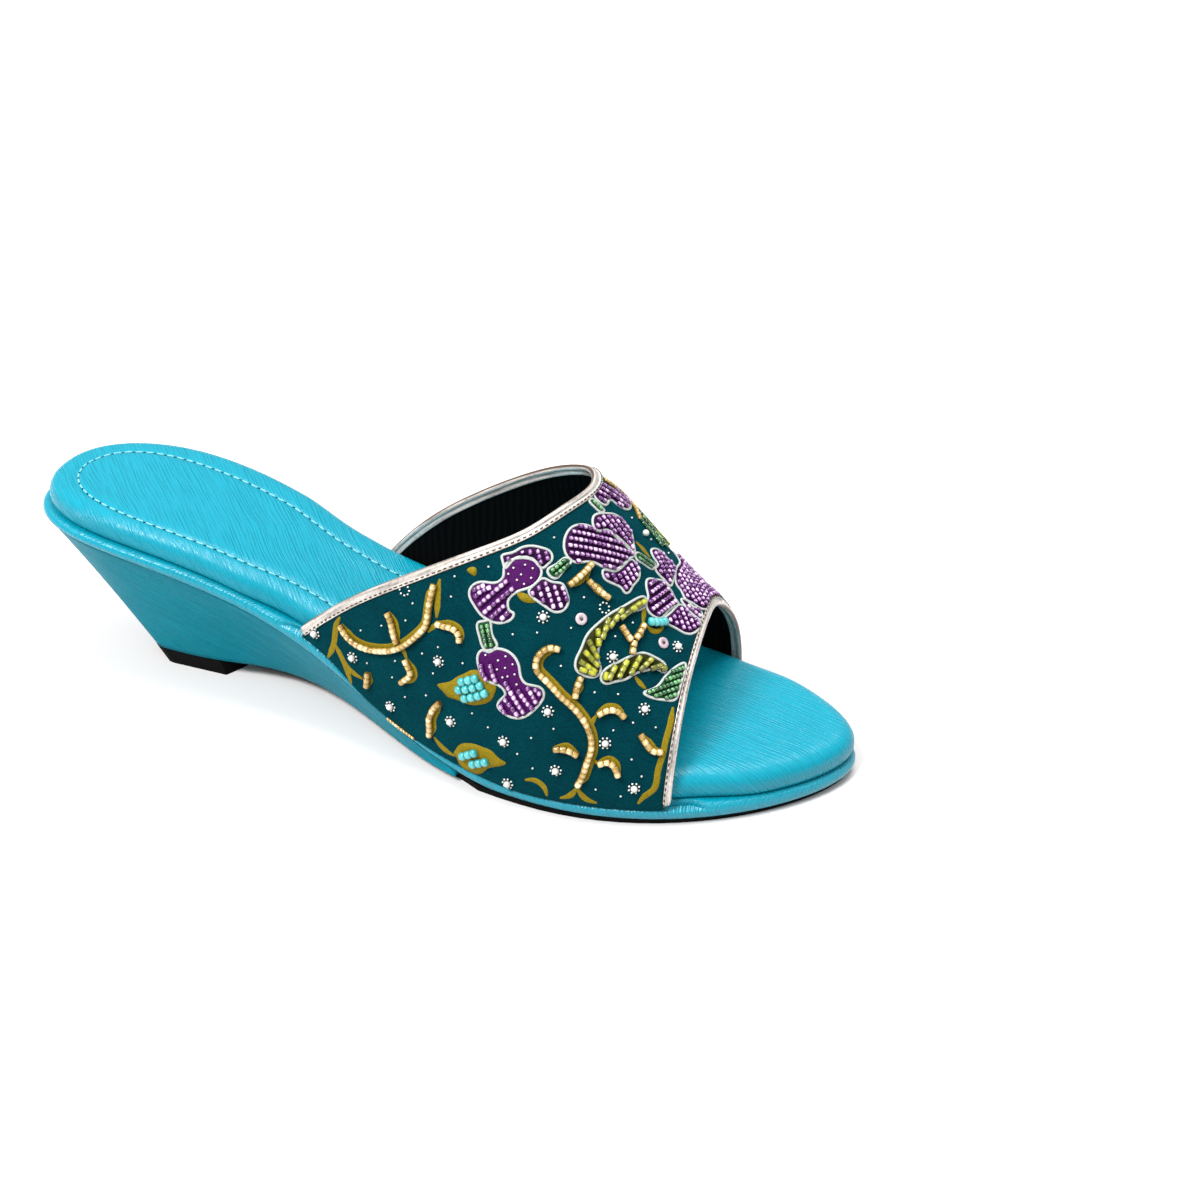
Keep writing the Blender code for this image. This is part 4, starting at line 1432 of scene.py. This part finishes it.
PRINTS_ON_SIDE = [
    [(436.5, 618), (437.5, 602), (438, 590), (440, 579)],
    [(428, 632), (433, 627), (440, 623)],
    [(340, 617), (337, 623), (334, 643), (328, 657.5)],
    [(334, 643), (341, 656), (347, 670.5), (352, 686)],
    [(340, 653), (349, 669), (363, 679)],
    [(400, 645), (404, 652), (407, 660)],
    [(592, 727), (593, 721), (597, 715)],
    [(590, 757), (594, 761), (599, 764)],
    [(577.5, 787), (569, 796), (560, 798)],
    [(577, 787), (586, 799), (597, 803)],
    [(525, 780), (535, 780.5), (543, 786), (547, 796)],
    [(673, 707), (670, 725.5), (665.5, 742), (662.5, 756), (658, 771), (653, 790), (645, 796), (638, 804)],
    [(434, 737), (441, 746), (449.5, 753), (455, 756)],
]
PRINTS_ON_TOP = [
    [(645, 605), (644, 614), (643, 624)],
    [(587, 572), (587, 577), (588, 582)],
    [(635, 676.5), (640, 683), (646, 689)],
    [(636, 542), (643, 549), (650, 557.5)],
]
PRINT_PATCHES_ON_TOP = [
    [(517, 593), (524, 593), (536, 602), (529, 603), (521, 600)],
    [(647, 626), (655, 629), (664, 625), (662, 631), (655, 634), (649, 631)],
    [(467, 570), (471, 567), (476, 568), (475, 576), (471, 574)],
]
PRINT_LEAVES_ON_SIDE = [
    [(437.5, 685), (448, 682), (456.5, 677), (465, 673), (472, 670), (480, 671), (489, 679), (496, 686),
     (495, 693), (492, 699.5), (483, 704), (475, 705), (465, 703), (455, 699), (447, 696), (444, 692.5)],
    [(454, 754), (456, 749), (459, 745), (468, 743), (475, 744), (483, 747), (492, 751), (499, 758),
     (506, 763), (497, 766.5), (487, 769), (483, 772.5), (478, 774), (470.5, 772), (463.5, 768), (459, 763),
     (457, 758)],
]
TURQUOISE_ROWS_ON_SIDE = [
    [(463, 681), (469.5, 679.5), (476, 678)],
    [(460, 689), (467, 688.5), (474, 687), (481, 685)],
    [(466, 697.5), (472.5, 696.5), (479, 695), (485.5, 692.5)],
    [(464, 755), (469.5, 753.5), (475, 752)],
    [(474, 763), (480, 762), (486, 761)],
]
TURQUOISE_ROWS_ON_TOP = [[(650, 622.5), (654.5, 623), (659, 623), (663, 622.5)]]
STARS_ON_SIDE = [
    (439, 661), (353, 657), (451, 721), (548, 711), (504, 741), (556, 770), (605, 743), (644, 709),
    (634, 788), (391, 706), (315, 633), (508, 783),
]
STARS_ON_TOP = [(543, 617), (612, 657), (677, 647)]
PALE_STARS = [(604, 608), (405, 590)]
SEQUINS = [(581, 619), (663, 643)]

# Sizes of the embroidery: a bead's are its length, breadth and height
Filling = namedtuple("Filling", "colour size pitch row_pitch")
PURPLE_FILLING = Filling("purple", (1.35, 1.3, 1.35), pitch=1.5, row_pitch=1.95)
GREEN_FILLING = Filling("green", (1.2, 1.3, 1.2), pitch=1.2, row_pitch=1.5)
ORCHID_BEAD = (1.4, 1.5, 1.5)
CREST_BEAD = (1.5, 1.5, 1.3)
CREST_SHIFT = 0.012
LEAF_BEAD = (2.1, 1.75, 1.7)
GOLD_BEAD = (1.6, 1.95, 1.9)
SLIVER_BEAD = (1.0, 0.9, 0.8)
TURQUOISE_BEAD = (2.0, 2.5, 2.0)
BEAD_SINK = 0.2
PEARL_SINK = 0.3
ROW_STRETCH = 1.05
SHORTEST_ROW = 0.9
PETAL_MARGIN = 0.75
LEAF_LEAN_BACK = 0.4
LEAF_STRAND_INSET = 0.12
LEAF_STRAND_KNOTS = 5
PATCH_STEP = 1.6
PATCH_RISE = 0.14
PATCH_SINK = 0.08
PATCH_WELD = 1e-4
TRIANGLES_INSIDE = 1
OUTLINE_WIDTH = 0.75
OUTLINE_RISE = 0.4
RIBBON_HALF = [(-0.5, -0.15), (-0.46, 0.45), (-0.25, 0.9)]
RIBBON_SECTION = np.array([*RIBBON_HALF, *((-across, up) for across, up in RIBBON_HALF[::-1])])
PRINT_WIDTH = 1.8
VINE_PRINT_WIDTH = 2.6
VINE_PRINT_SHIFT = 0.55
PRINT_TAPER_RUN = 3.0
PRINT_TAPER_SIZE = 0.35
PRINT_RISE = 0.1
STAR_PEARL = 1.95
STAR_RADIUS = 1.42
STAR_BEADS = 8
TINY_BEAD = 0.58
SEQUIN_SIZE = 3.3
SEQUIN_THICKNESS = 0.8
SEQUIN_RISE = 0.3
KNOT_SIZE = 0.8
KNOT_SINK = -0.1
ROW_PROBE = 4.0
LAY_REACH = 25.0
DOT_SPACING = 5.4
DOT_CLEARANCE = 2.3
DOT_TRIES = 2600
DOT_SHARES = (0.05, 0.95)
DOT_ACROSS = 0.97


class Embroidery:
    """Gathers the beads and the cloth of the embroidery by colour, for one mesh each."""

    def __init__(self):
        self.beads = {}
        self.cloth = {}
        self.taken = []

    def add_beads(self, colour, placed):
        self.beads.setdefault(colour, []).append(placed)
        self.taken.append(placed.places)

    def add_cloth(self, colour, points, faces):
        self.cloth.setdefault(colour, []).append((points, faces))
        self.taken.append(points)

    def row(self, colour, path, size, pitch=None):
        """Beads strung along a path on the vamp, spread evenly over its length."""
        length, breadth, height = size
        pitch = pitch or length
        run = path_run(path)[-1]
        fitted = run / max(round(run / pitch), 1)
        length *= min(fitted / pitch, ROW_STRETCH)
        up = vamp_normals(path)
        self.add_beads(colour, along_path(path, up, fitted, length, breadth, height, BEAD_SINK))

    def single(self, colour, places, size, sink):
        """Round beads at single places on the vamp."""
        up = vamp_normals(places)
        along = np.cross(up, UPWARD)
        self.add_beads(colour, Placed(places + up * (size / 2.0 - sink), along, up, np.full(3, size)))

    def ribbon(self, colour, path, width, rise, closed=False, shift=0.0):
        """A low rounded cord or flat strip along a path on the vamp."""
        up = vamp_normals(path)
        along = loop_tangents(path) if closed else np.gradient(path, axis=0)
        side = unit(np.cross(up, along))
        section = RIBBON_SECTION * (width, rise) + (shift, 0.0)
        end = 1.0 if closed else end_way(path_run(path), PRINT_TAPER_RUN)
        wide = np.broadcast_to(PRINT_TAPER_SIZE + (1.0 - PRINT_TAPER_SIZE) * end, len(path))[:, None, None]
        points = path[:, None] + wide * section[:, :1] * side[:, None] + section[:, 1:] * up[:, None]
        faces = tube_faces(number_grid(*points.shape[:2]), closed)
        self.add_cloth(colour, points.reshape(-1, 3), faces)

    def patch(self, colour, boundary):
        """A thin closed piece of cloth on the vamp inside a boundary."""
        middle, up, axes = flat_frame(boundary, boundary[1] - boundary[0])
        flat = (boundary - middle) @ axes.T
        low, high = flat.min(axis=0), flat.max(axis=0)
        lines = [np.arange(start, end, PATCH_STEP) for start, end in zip(low, high)]
        grid = np.stack(np.meshgrid(*lines), axis=-1).reshape(-1, 2)
        grid = grid[within(grid, flat) & (outline_distance(grid, flat) > PATCH_STEP / 2.0)]
        knots = [Vector(point) for point in np.vstack([flat, grid])]
        outline = [list(range(len(flat)))]
        found, _, triangles, *_ = delaunay_2d_cdt(knots, [], outline, TRIANGLES_INSIDE, PATCH_WELD)
        places = laid(middle + np.array([tuple(knot) for knot in found]) @ axes, up)
        normals = vamp_normals(places)
        count = len(places)
        used = {}
        for corners in triangles:
            for pair in zip(corners, [*corners[1:], corners[0]]):
                used.setdefault(frozenset(pair), []).append(pair)
        edges = [pairs[0] for pairs in used.values() if len(pairs) == 1]
        faces = [list(corners) for corners in triangles]
        faces += [[corner + count for corner in corners[::-1]] for corners in triangles]
        faces += [[b, a, a + count, b + count] for a, b in edges]
        points = np.vstack([places + normals * PATCH_RISE, places - normals * PATCH_SINK])
        self.add_cloth(colour, points, faces)

    def outlined_patch(self, colour, knots):
        """A patch with a pale outline through knots; the outline's path is returned."""
        boundary = smooth_path(knots, closed=True)
        self.patch(colour, boundary)
        self.ribbon("white", boundary, OUTLINE_WIDTH, OUTLINE_RISE, closed=True)
        return boundary


def within(points, loop):
    """Whether each point in plan lies inside a closed outline."""
    a, b = loop, np.roll(loop, -1, axis=0)
    x, y = points[:, :1], points[:, 1:]
    straddles = (a[:, 1] > y) != (b[:, 1] > y)
    rise = np.where(b[:, 1] == a[:, 1], 1.0, b[:, 1] - a[:, 1])
    crossing = a[:, 0] + (y - a[:, 1]) * (b[:, 0] - a[:, 0]) / rise
    return np.count_nonzero(straddles & (x < crossing), axis=1) % 2 == 1


def flat_frame(boundary, along):
    """Middle, normal and two flat axes of the plane that a motif lies nearest to."""
    middle = snapped(boundary.mean(axis=0)[None])
    up = vamp_normals(middle)[0]
    along = unit(along - up * (along @ up))
    return middle[0], up, np.stack([along, np.cross(up, along)])


def laid(points, up):
    """Points moved along a direction onto the vamp."""
    found = []
    for point in points:
        place, *_ = VAMP_TREE.ray_cast(Vector(point + up * LAY_REACH), Vector(-up), 2.0 * LAY_REACH)
        found.append(VAMP_TREE.find_nearest(Vector(point))[0] if place is None else place)
    return np.array(found, float)


def bead_rows(boundary, direction, pitch):
    """Paths on the vamp that fill a closed outline with rows in a direction."""
    middle, up, axes = flat_frame(boundary, direction)
    flat = (boundary - middle) @ axes.T
    after = np.roll(flat, -1, axis=0)
    low, high = flat[:, 1].min() + PETAL_MARGIN, flat[:, 1].max() - PETAL_MARGIN
    count = max(int((high - low) / pitch), 0)
    first = (low + high - count * pitch) / 2.0
    paths = []
    for level in first + pitch * np.arange(count + 1):
        crossed = (flat[:, 1] - level) * (after[:, 1] - level) < 0.0
        share = (level - flat[crossed, 1]) / (after[crossed, 1] - flat[crossed, 1])
        ends = np.sort(flat[crossed, 0] + (after[crossed, 0] - flat[crossed, 0]) * share)
        for start, end in zip(ends[::2] + PETAL_MARGIN, ends[1::2] - PETAL_MARGIN):
            if end - start > SHORTEST_ROW:
                at = np.linspace(start, end, max(int(end - start), 3))
                row = np.column_stack([at, np.full(len(at), level)])
                paths.append(laid(middle + row @ axes, up))
    return paths


def sides_of(points, both):
    """The points alone, or also their mirror image on the other side of the vamp."""
    return [points, mirrored(points)] if both else [points]


def motifs(*tables):
    """The points on the vamp of every motif in tables, each with whether it is sewn on both sides."""
    for table, both in tables:
        for pixels in table:
            yield from sides_of(on_vamp(pixels), both)


def sew_petal(work, petal, both, filling):
    """A petal or leaf: its ground, a pale outline and rows of beads."""
    centre_pixel = np.mean(petal.outline, axis=0)
    step = np.array(petal.row_direction) / np.hypot(*petal.row_direction) * ROW_PROBE
    probe = on_vamp([centre_pixel - step, centre_pixel + step])
    outline = on_vamp(petal.outline)
    for knots, ends in zip(sides_of(outline, both), sides_of(probe, both)):
        boundary = work.outlined_patch(filling.colour, knots)
        for path in bead_rows(boundary, ends[1] - ends[0], filling.row_pitch):
            work.row(filling.colour, path, filling.size, filling.pitch)


def sew_bulb(work, outline, dots, both):
    """A plain purple bulb with a pale outline and single white beads."""
    for knots, places in zip(sides_of(on_vamp(outline), both), sides_of(on_vamp(dots), both)):
        work.outlined_patch("bulb", knots)
        work.single("white", places, TINY_BEAD, -PATCH_RISE)


def sew_vine(work, pixels, both):
    """A strand of gold beads over a printed stem that shows beside it."""
    for number, knots in enumerate(sides_of(on_vamp(pixels), both)):
        path = smooth_path(knots)
        work.ribbon("print", path, VINE_PRINT_WIDTH, PRINT_RISE, shift=VINE_PRINT_SHIFT * (1 - 2 * number))
        work.row("gold", path, GOLD_BEAD)


def sew_leaf(work, leaf):
    """A leaf of slanting strands between two edges, like a loose rope, with a pale edge."""
    edges = [np.array(edge, float) for edge in (leaf.start_edge, leaf.end_edge)]
    shares = [np.linspace(0.0, 1.0, len(edge)) for edge in edges]
    work.outlined_patch("leaf", on_vamp(np.vstack([edges[0], edges[1][::-1]])))
    mixes = np.linspace(LEAF_STRAND_INSET, 1.0 - LEAF_STRAND_INSET, LEAF_STRAND_KNOTS)[:, None]
    first = -leaf.lean * LEAF_LEAN_BACK
    for share in np.linspace(first, 1.0 - leaf.lean - first, leaf.count):
        start, end = (
            np.array([np.interp(at, places, values) for values in edge.T])
            for edge, places, at in zip(edges, shares, (share, share + leaf.lean))
        )
        work.row("leaf", smooth_path(on_vamp(start + (end - start) * mixes)), LEAF_BEAD)


def sew_star(work, place, pearl):
    """A ring of tiny beads, with or without a pearl in its middle."""
    up = vamp_normals(place[None])[0]
    first = unit(np.cross(up, UPWARD))
    second = np.cross(up, first)
    turns = RNG.uniform(0.0, np.pi) + np.arange(STAR_BEADS) * 2.0 * np.pi / STAR_BEADS
    ring = place + STAR_RADIUS * (np.cos(turns)[:, None] * first + np.sin(turns)[:, None] * second)
    work.single("white", snapped(ring), TINY_BEAD, 0.0)
    if pearl:
        work.single("white", place[None], STAR_PEARL, PEARL_SINK)


def sew_sequin(work, place):
    """A thin round sequin with a dark bead in its middle."""
    up = vamp_normals(place[None])
    aside = unit(np.cross(up, UPWARD))
    size = np.array([SEQUIN_THICKNESS, SEQUIN_SIZE, SEQUIN_SIZE])
    work.add_beads("sequin", Placed(place + up * SEQUIN_THICKNESS * SEQUIN_RISE, up, aside, size))
    work.single("knot", place[None], KNOT_SIZE, KNOT_SINK)


def scatter_dots(work):
    """Tiny white beads strewn over the velvet that is left free."""
    share = RNG.uniform(*DOT_SHARES, DOT_TRIES)
    across = RNG.uniform(-DOT_ACROSS, DOT_ACROSS, DOT_TRIES)
    taken = np.vstack(work.taken)
    kept = np.empty((0, 3))
    for place in snapped(vamp_places(share, across)):
        if np.min(np.linalg.norm(taken - place, axis=1)) < DOT_CLEARANCE:
            continue
        if len(kept) and np.min(np.linalg.norm(kept - place, axis=1)) < DOT_SPACING:
            continue
        kept = np.vstack([kept, place])
    work.single("white", kept, TINY_BEAD, 0.0)


def sew_embroidery():
    """All motifs: those low on the side are sewn on both sides of the vamp."""
    work = Embroidery()
    for petal in PURPLE_PETALS_ON_TOP:
        sew_petal(work, petal, False, PURPLE_FILLING)
    for outline, dots, rows, both in (
        (ORCHID_ON_TOP, ORCHID_ON_TOP_DOTS, ORCHID_ON_TOP_ROWS, False),
        (ORCHID_ON_SIDE, ORCHID_ON_SIDE_DOTS, ORCHID_ON_SIDE_ROWS, True),
    ):
        sew_bulb(work, outline, dots, both)
        for knots in motifs((rows, both)):
            work.row("purple", smooth_path(knots), ORCHID_BEAD)
    for petal in GREEN_STEMS_ON_TOP:
        sew_petal(work, petal, False, GREEN_FILLING)
    for petal in (GREEN_STEM_ON_SIDE, GREEN_LEAF_ON_SIDE):
        sew_petal(work, petal, True, GREEN_FILLING)
    for colour, strands in CREST_STRANDS.items():
        for pixels in strands:
            share, across, _ = vamp_coordinates(on_vamp(pixels))
            path = smooth_path(vamp_places(share, across + CREST_SHIFT))
            work.row(colour, path, CREST_BEAD)
    work.single("white", on_vamp(CREST_PEARL), STAR_PEARL, PEARL_SINK)
    for leaf in LEAF_STRANDS:
        sew_leaf(work, leaf)
    for pixels in GOLD_VINES_ON_SIDE:
        sew_vine(work, pixels, True)
    for knots in motifs(([HEM_SLIVER], True)):
        work.row("gold", smooth_path(knots), SLIVER_BEAD)
    for pixels in GOLD_VINES_ON_TOP:
        sew_vine(work, pixels, False)
    for knots in motifs((PRINTS_ON_SIDE, True), (PRINTS_ON_TOP, False)):
        work.ribbon("print", smooth_path(knots), PRINT_WIDTH, PRINT_RISE)
    for knots in motifs((PRINT_LEAVES_ON_SIDE, True), (PRINT_PATCHES_ON_TOP, False)):
        work.patch("print", smooth_path(knots, closed=True))
    for places in motifs((TURQUOISE_ROWS_ON_SIDE, True), (TURQUOISE_ROWS_ON_TOP, False)):
        up = vamp_normals(places)
        size = np.array(TURQUOISE_BEAD)
        lifted = places + up * (size[2] / 2.0 - BEAD_SINK)
        work.add_beads("turquoise", Placed(lifted, np.gradient(places, axis=0), up, size))
    for places in motifs(([STARS_ON_SIDE], True), ([STARS_ON_TOP], False)):
        for place in places:
            sew_star(work, place, True)
    for place in on_vamp(PALE_STARS):
        sew_star(work, place, False)
    for place in on_vamp(SEQUINS):
        sew_sequin(work, place)
    scatter_dots(work)
    return work


def make_embroidery():
    """One mesh for each colour of bead and of cloth."""
    work = sew_embroidery()
    beads = {
        "purple": (CUT_BEAD, bead_glass(
            "purple_beads", (0.024, 0.0016, 0.038), (0.127, 0.0165, 0.168), (0.9, 0.66, 0.9), rough=0.18)),
        "gold": (TUBE_BEAD, bead_glass(
            "gold_beads", (0.12, 0.06, 0.006), (0.42, 0.265, 0.058), (0.84, 0.7, 0.44),
            rough=0.2, metallic=0.2)),
        "green": (CUT_BEAD, bead_glass(
            "green_beads", (0.001, 0.024, 0.005), (0.005, 0.068, 0.015), (0.15, 0.4, 0.15), rough=0.15)),
        "leaf": (TUBE_BEAD, bead_glass(
            "olive_beads", (0.022, 0.023, 0.0), (0.12, 0.126, 0.001), (0.46, 0.47, 0.02), rough=0.15)),
        "turquoise": (CUSHION, bead_glass(
            "turquoise_beads", (0.02, 0.3, 0.32), (0.05, 0.39, 0.4), (0.1, 0.48, 0.48), rough=0.25)),
        "white": (ROUND_BEAD, bead_glass(
            "pearl_beads", (0.5, 0.51, 0.48), (0.6, 0.6, 0.58), (0.7, 0.7, 0.68), rough=0.18)),
        "sequin": (WASHER, bead_glass(
            "pink_sequins", (0.38, 0.27, 0.32), (0.5, 0.41, 0.45), (0.5, 0.41, 0.45), rough=0.22)),
        "knot": (ROUND_BEAD, bead_glass(
            "dark_knots", (0.005, 0.004, 0.005), (0.015, 0.01, 0.015), (0.015, 0.01, 0.015), rough=0.3)),
    }
    slots = {"leaf": "beads_green", "sequin": "beads_white", "knot": "beads_white"}
    for colour, groups in work.beads.items():
        template, material = beads[colour]
        make_copies(f"{colour}_beads", template, groups, material, slots.get(colour, f"beads_{colour}"))
    cloths = {
        "purple": cloth_ground("purple_ground", (0.014, 0.001, 0.021), (0.032, 0.003, 0.045)),
        "bulb": cloth_ground("purple_satin", (0.036, 0.002, 0.055), (0.075, 0.005, 0.1)),
        "green": cloth_ground("green_ground", (0.003, 0.045, 0.012), (0.01, 0.085, 0.025)),
        "leaf": cloth_ground("leaf_ground", (0.01, 0.013, 0.001), (0.028, 0.032, 0.002)),
        "print": cloth_ground("gold_print", (0.15, 0.108, 0.002), (0.26, 0.19, 0.008)),
        "white": cloth_ground("white_outline", (0.34, 0.38, 0.36), (0.52, 0.54, 0.52)),
    }
    for colour, parts in work.cloth.items():
        points = np.vstack([points for points, _ in parts])
        starts = np.cumsum([0, *(len(points) for points, _ in parts)])
        faces = [
            [corner + start for corner in face]
            for start, (_, part) in zip(starts.tolist(), parts) for face in part
        ]
        slot = "thread" if colour == "white" else "print"
        make_piece(f"{colour}_cloth", points, faces, [cloths[colour]], slot, grain=points)


# The stage, its sizes and places in metres
FLOOR_REACH = 6.0
FLOOR_DARK = (0.66, 0.638, 0.632)
FLOOR_LIGHT = (0.68, 0.658, 0.652)
HORIZON_LIGHT = 0.15
ZENITH_LIGHT = 1.2


def make_floor():
    """A pale even floor that runs well past the picture."""
    material, tree, shader = new_material("pale_floor", {"Roughness": 0.9, "Specular IOR Level": 0.1})
    mottle = noise(tree, add_node(tree, "ShaderNodeTexCoord", {}).outputs["Object"], scale=3.0)
    link_colour(tree, shader, ramp(tree, mottle, [(0.3, FLOOR_DARK), (0.7, FLOOR_LIGHT)]))
    corners = [(x * FLOOR_REACH, y * FLOOR_REACH, 0.0) for x, y in ((-1, -1), (1, -1), (1, 1), (-1, 1))]
    mesh = bpy.data.meshes.new("floor")
    mesh.from_pydata(corners, [], [(0, 1, 2, 3)])
    mesh.materials.append(material)
    floor = link_object("floor", mesh)
    floor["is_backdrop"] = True


def add_light(name, place, aim, size, power):
    """A soft square light at a place, facing another."""
    data = bpy.data.lights.new(name, "AREA")
    data.shape = "SQUARE"
    data.size = size
    data.energy = power
    light = link_object(name, data)
    light.location = place
    light.rotation_euler = (Vector(aim) - Vector(place)).to_track_quat("-Z", "Y").to_euler()


def light_scene():
    world = bpy.data.worlds.new("pale_room")
    world.use_nodes = True
    tree = world.node_tree
    direction = add_node(tree, "ShaderNodeTexCoord", {}).outputs["Generated"]
    height = add_node(tree, "ShaderNodeSeparateXYZ", {0: direction}).outputs["Z"]
    sky = ramp(tree, height, [(0.0, grey(HORIZON_LIGHT)), (1.0, grey(ZENITH_LIGHT))])
    tree.links.new(sky, tree.nodes["Background"].inputs["Color"])
    bpy.context.scene.world = world
    add_light("overhead", (0.1, 0.4, 2.5), aim=(0.0, 0.0, 0.0), size=1.3, power=50.0)
    add_light("front", (-0.75, -1.15, 1.8), aim=(0.0, 0.0, 0.03), size=0.7, power=60.0)
    bpy.context.scene.view_settings.view_transform = "Standard"


# Putting the shoe together
INSOLE_CYAN = (0.001, 0.233, 0.321)
RAND_CYAN = (0.001, 0.24, 0.33)
WEDGE_CYAN = (0.001, 0.183, 0.247)

make_camera()
light_scene()
make_floor()
make_insole(leather("insole_leather", INSOLE_CYAN, depth=0.15, contrast=0.1, rough=0.28, specular=0.26))
make_rand(leather("rand_leather", RAND_CYAN, depth=0.12, contrast=0.12, rough=0.23, specular=0.36))
make_wedge(leather("wedge_leather", WEDGE_CYAN, depth=0.14, contrast=0.15, rough=0.42, specular=0.06))
make_upper(velvet(), lining())
silver = silver_film()
make_piping("collar_piping_film", "collar_piping", COLLAR_EDGE, COLLAR_STRIP, silver)
make_piping("toe_piping_film", "toe_piping", TOE_EDGE, TOE_STRIP, silver)
brown_thread = cloth_ground("brown_thread", (0.03, 0.02, 0.013), (0.1, 0.066, 0.045))
make_piping_stitches("collar_stitches", COLLAR_EDGE, brown_thread)
make_piping_stitches("toe_stitches", TOE_EDGE, brown_thread)
# Cyan thread for the insole's stitches, and dark marks of painted shade for its needle holes
make_insole_stitches(
    cloth_ground("cyan_thread", (0.13, 0.4, 0.48), (0.26, 0.54, 0.6)),
    cloth_ground("painted_needle_hole_shade", (0.0, 0.012, 0.02), (0.0, 0.027, 0.042)),
)
make_embroidery()
black_rubber = rubber()
for node in ("outsole", "heel_lift"):
    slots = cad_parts[node].data.materials
    slots.clear()
    slots.append(black_rubber)

[[list(corner) for corner in box] for box in (CAD_BOX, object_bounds())]
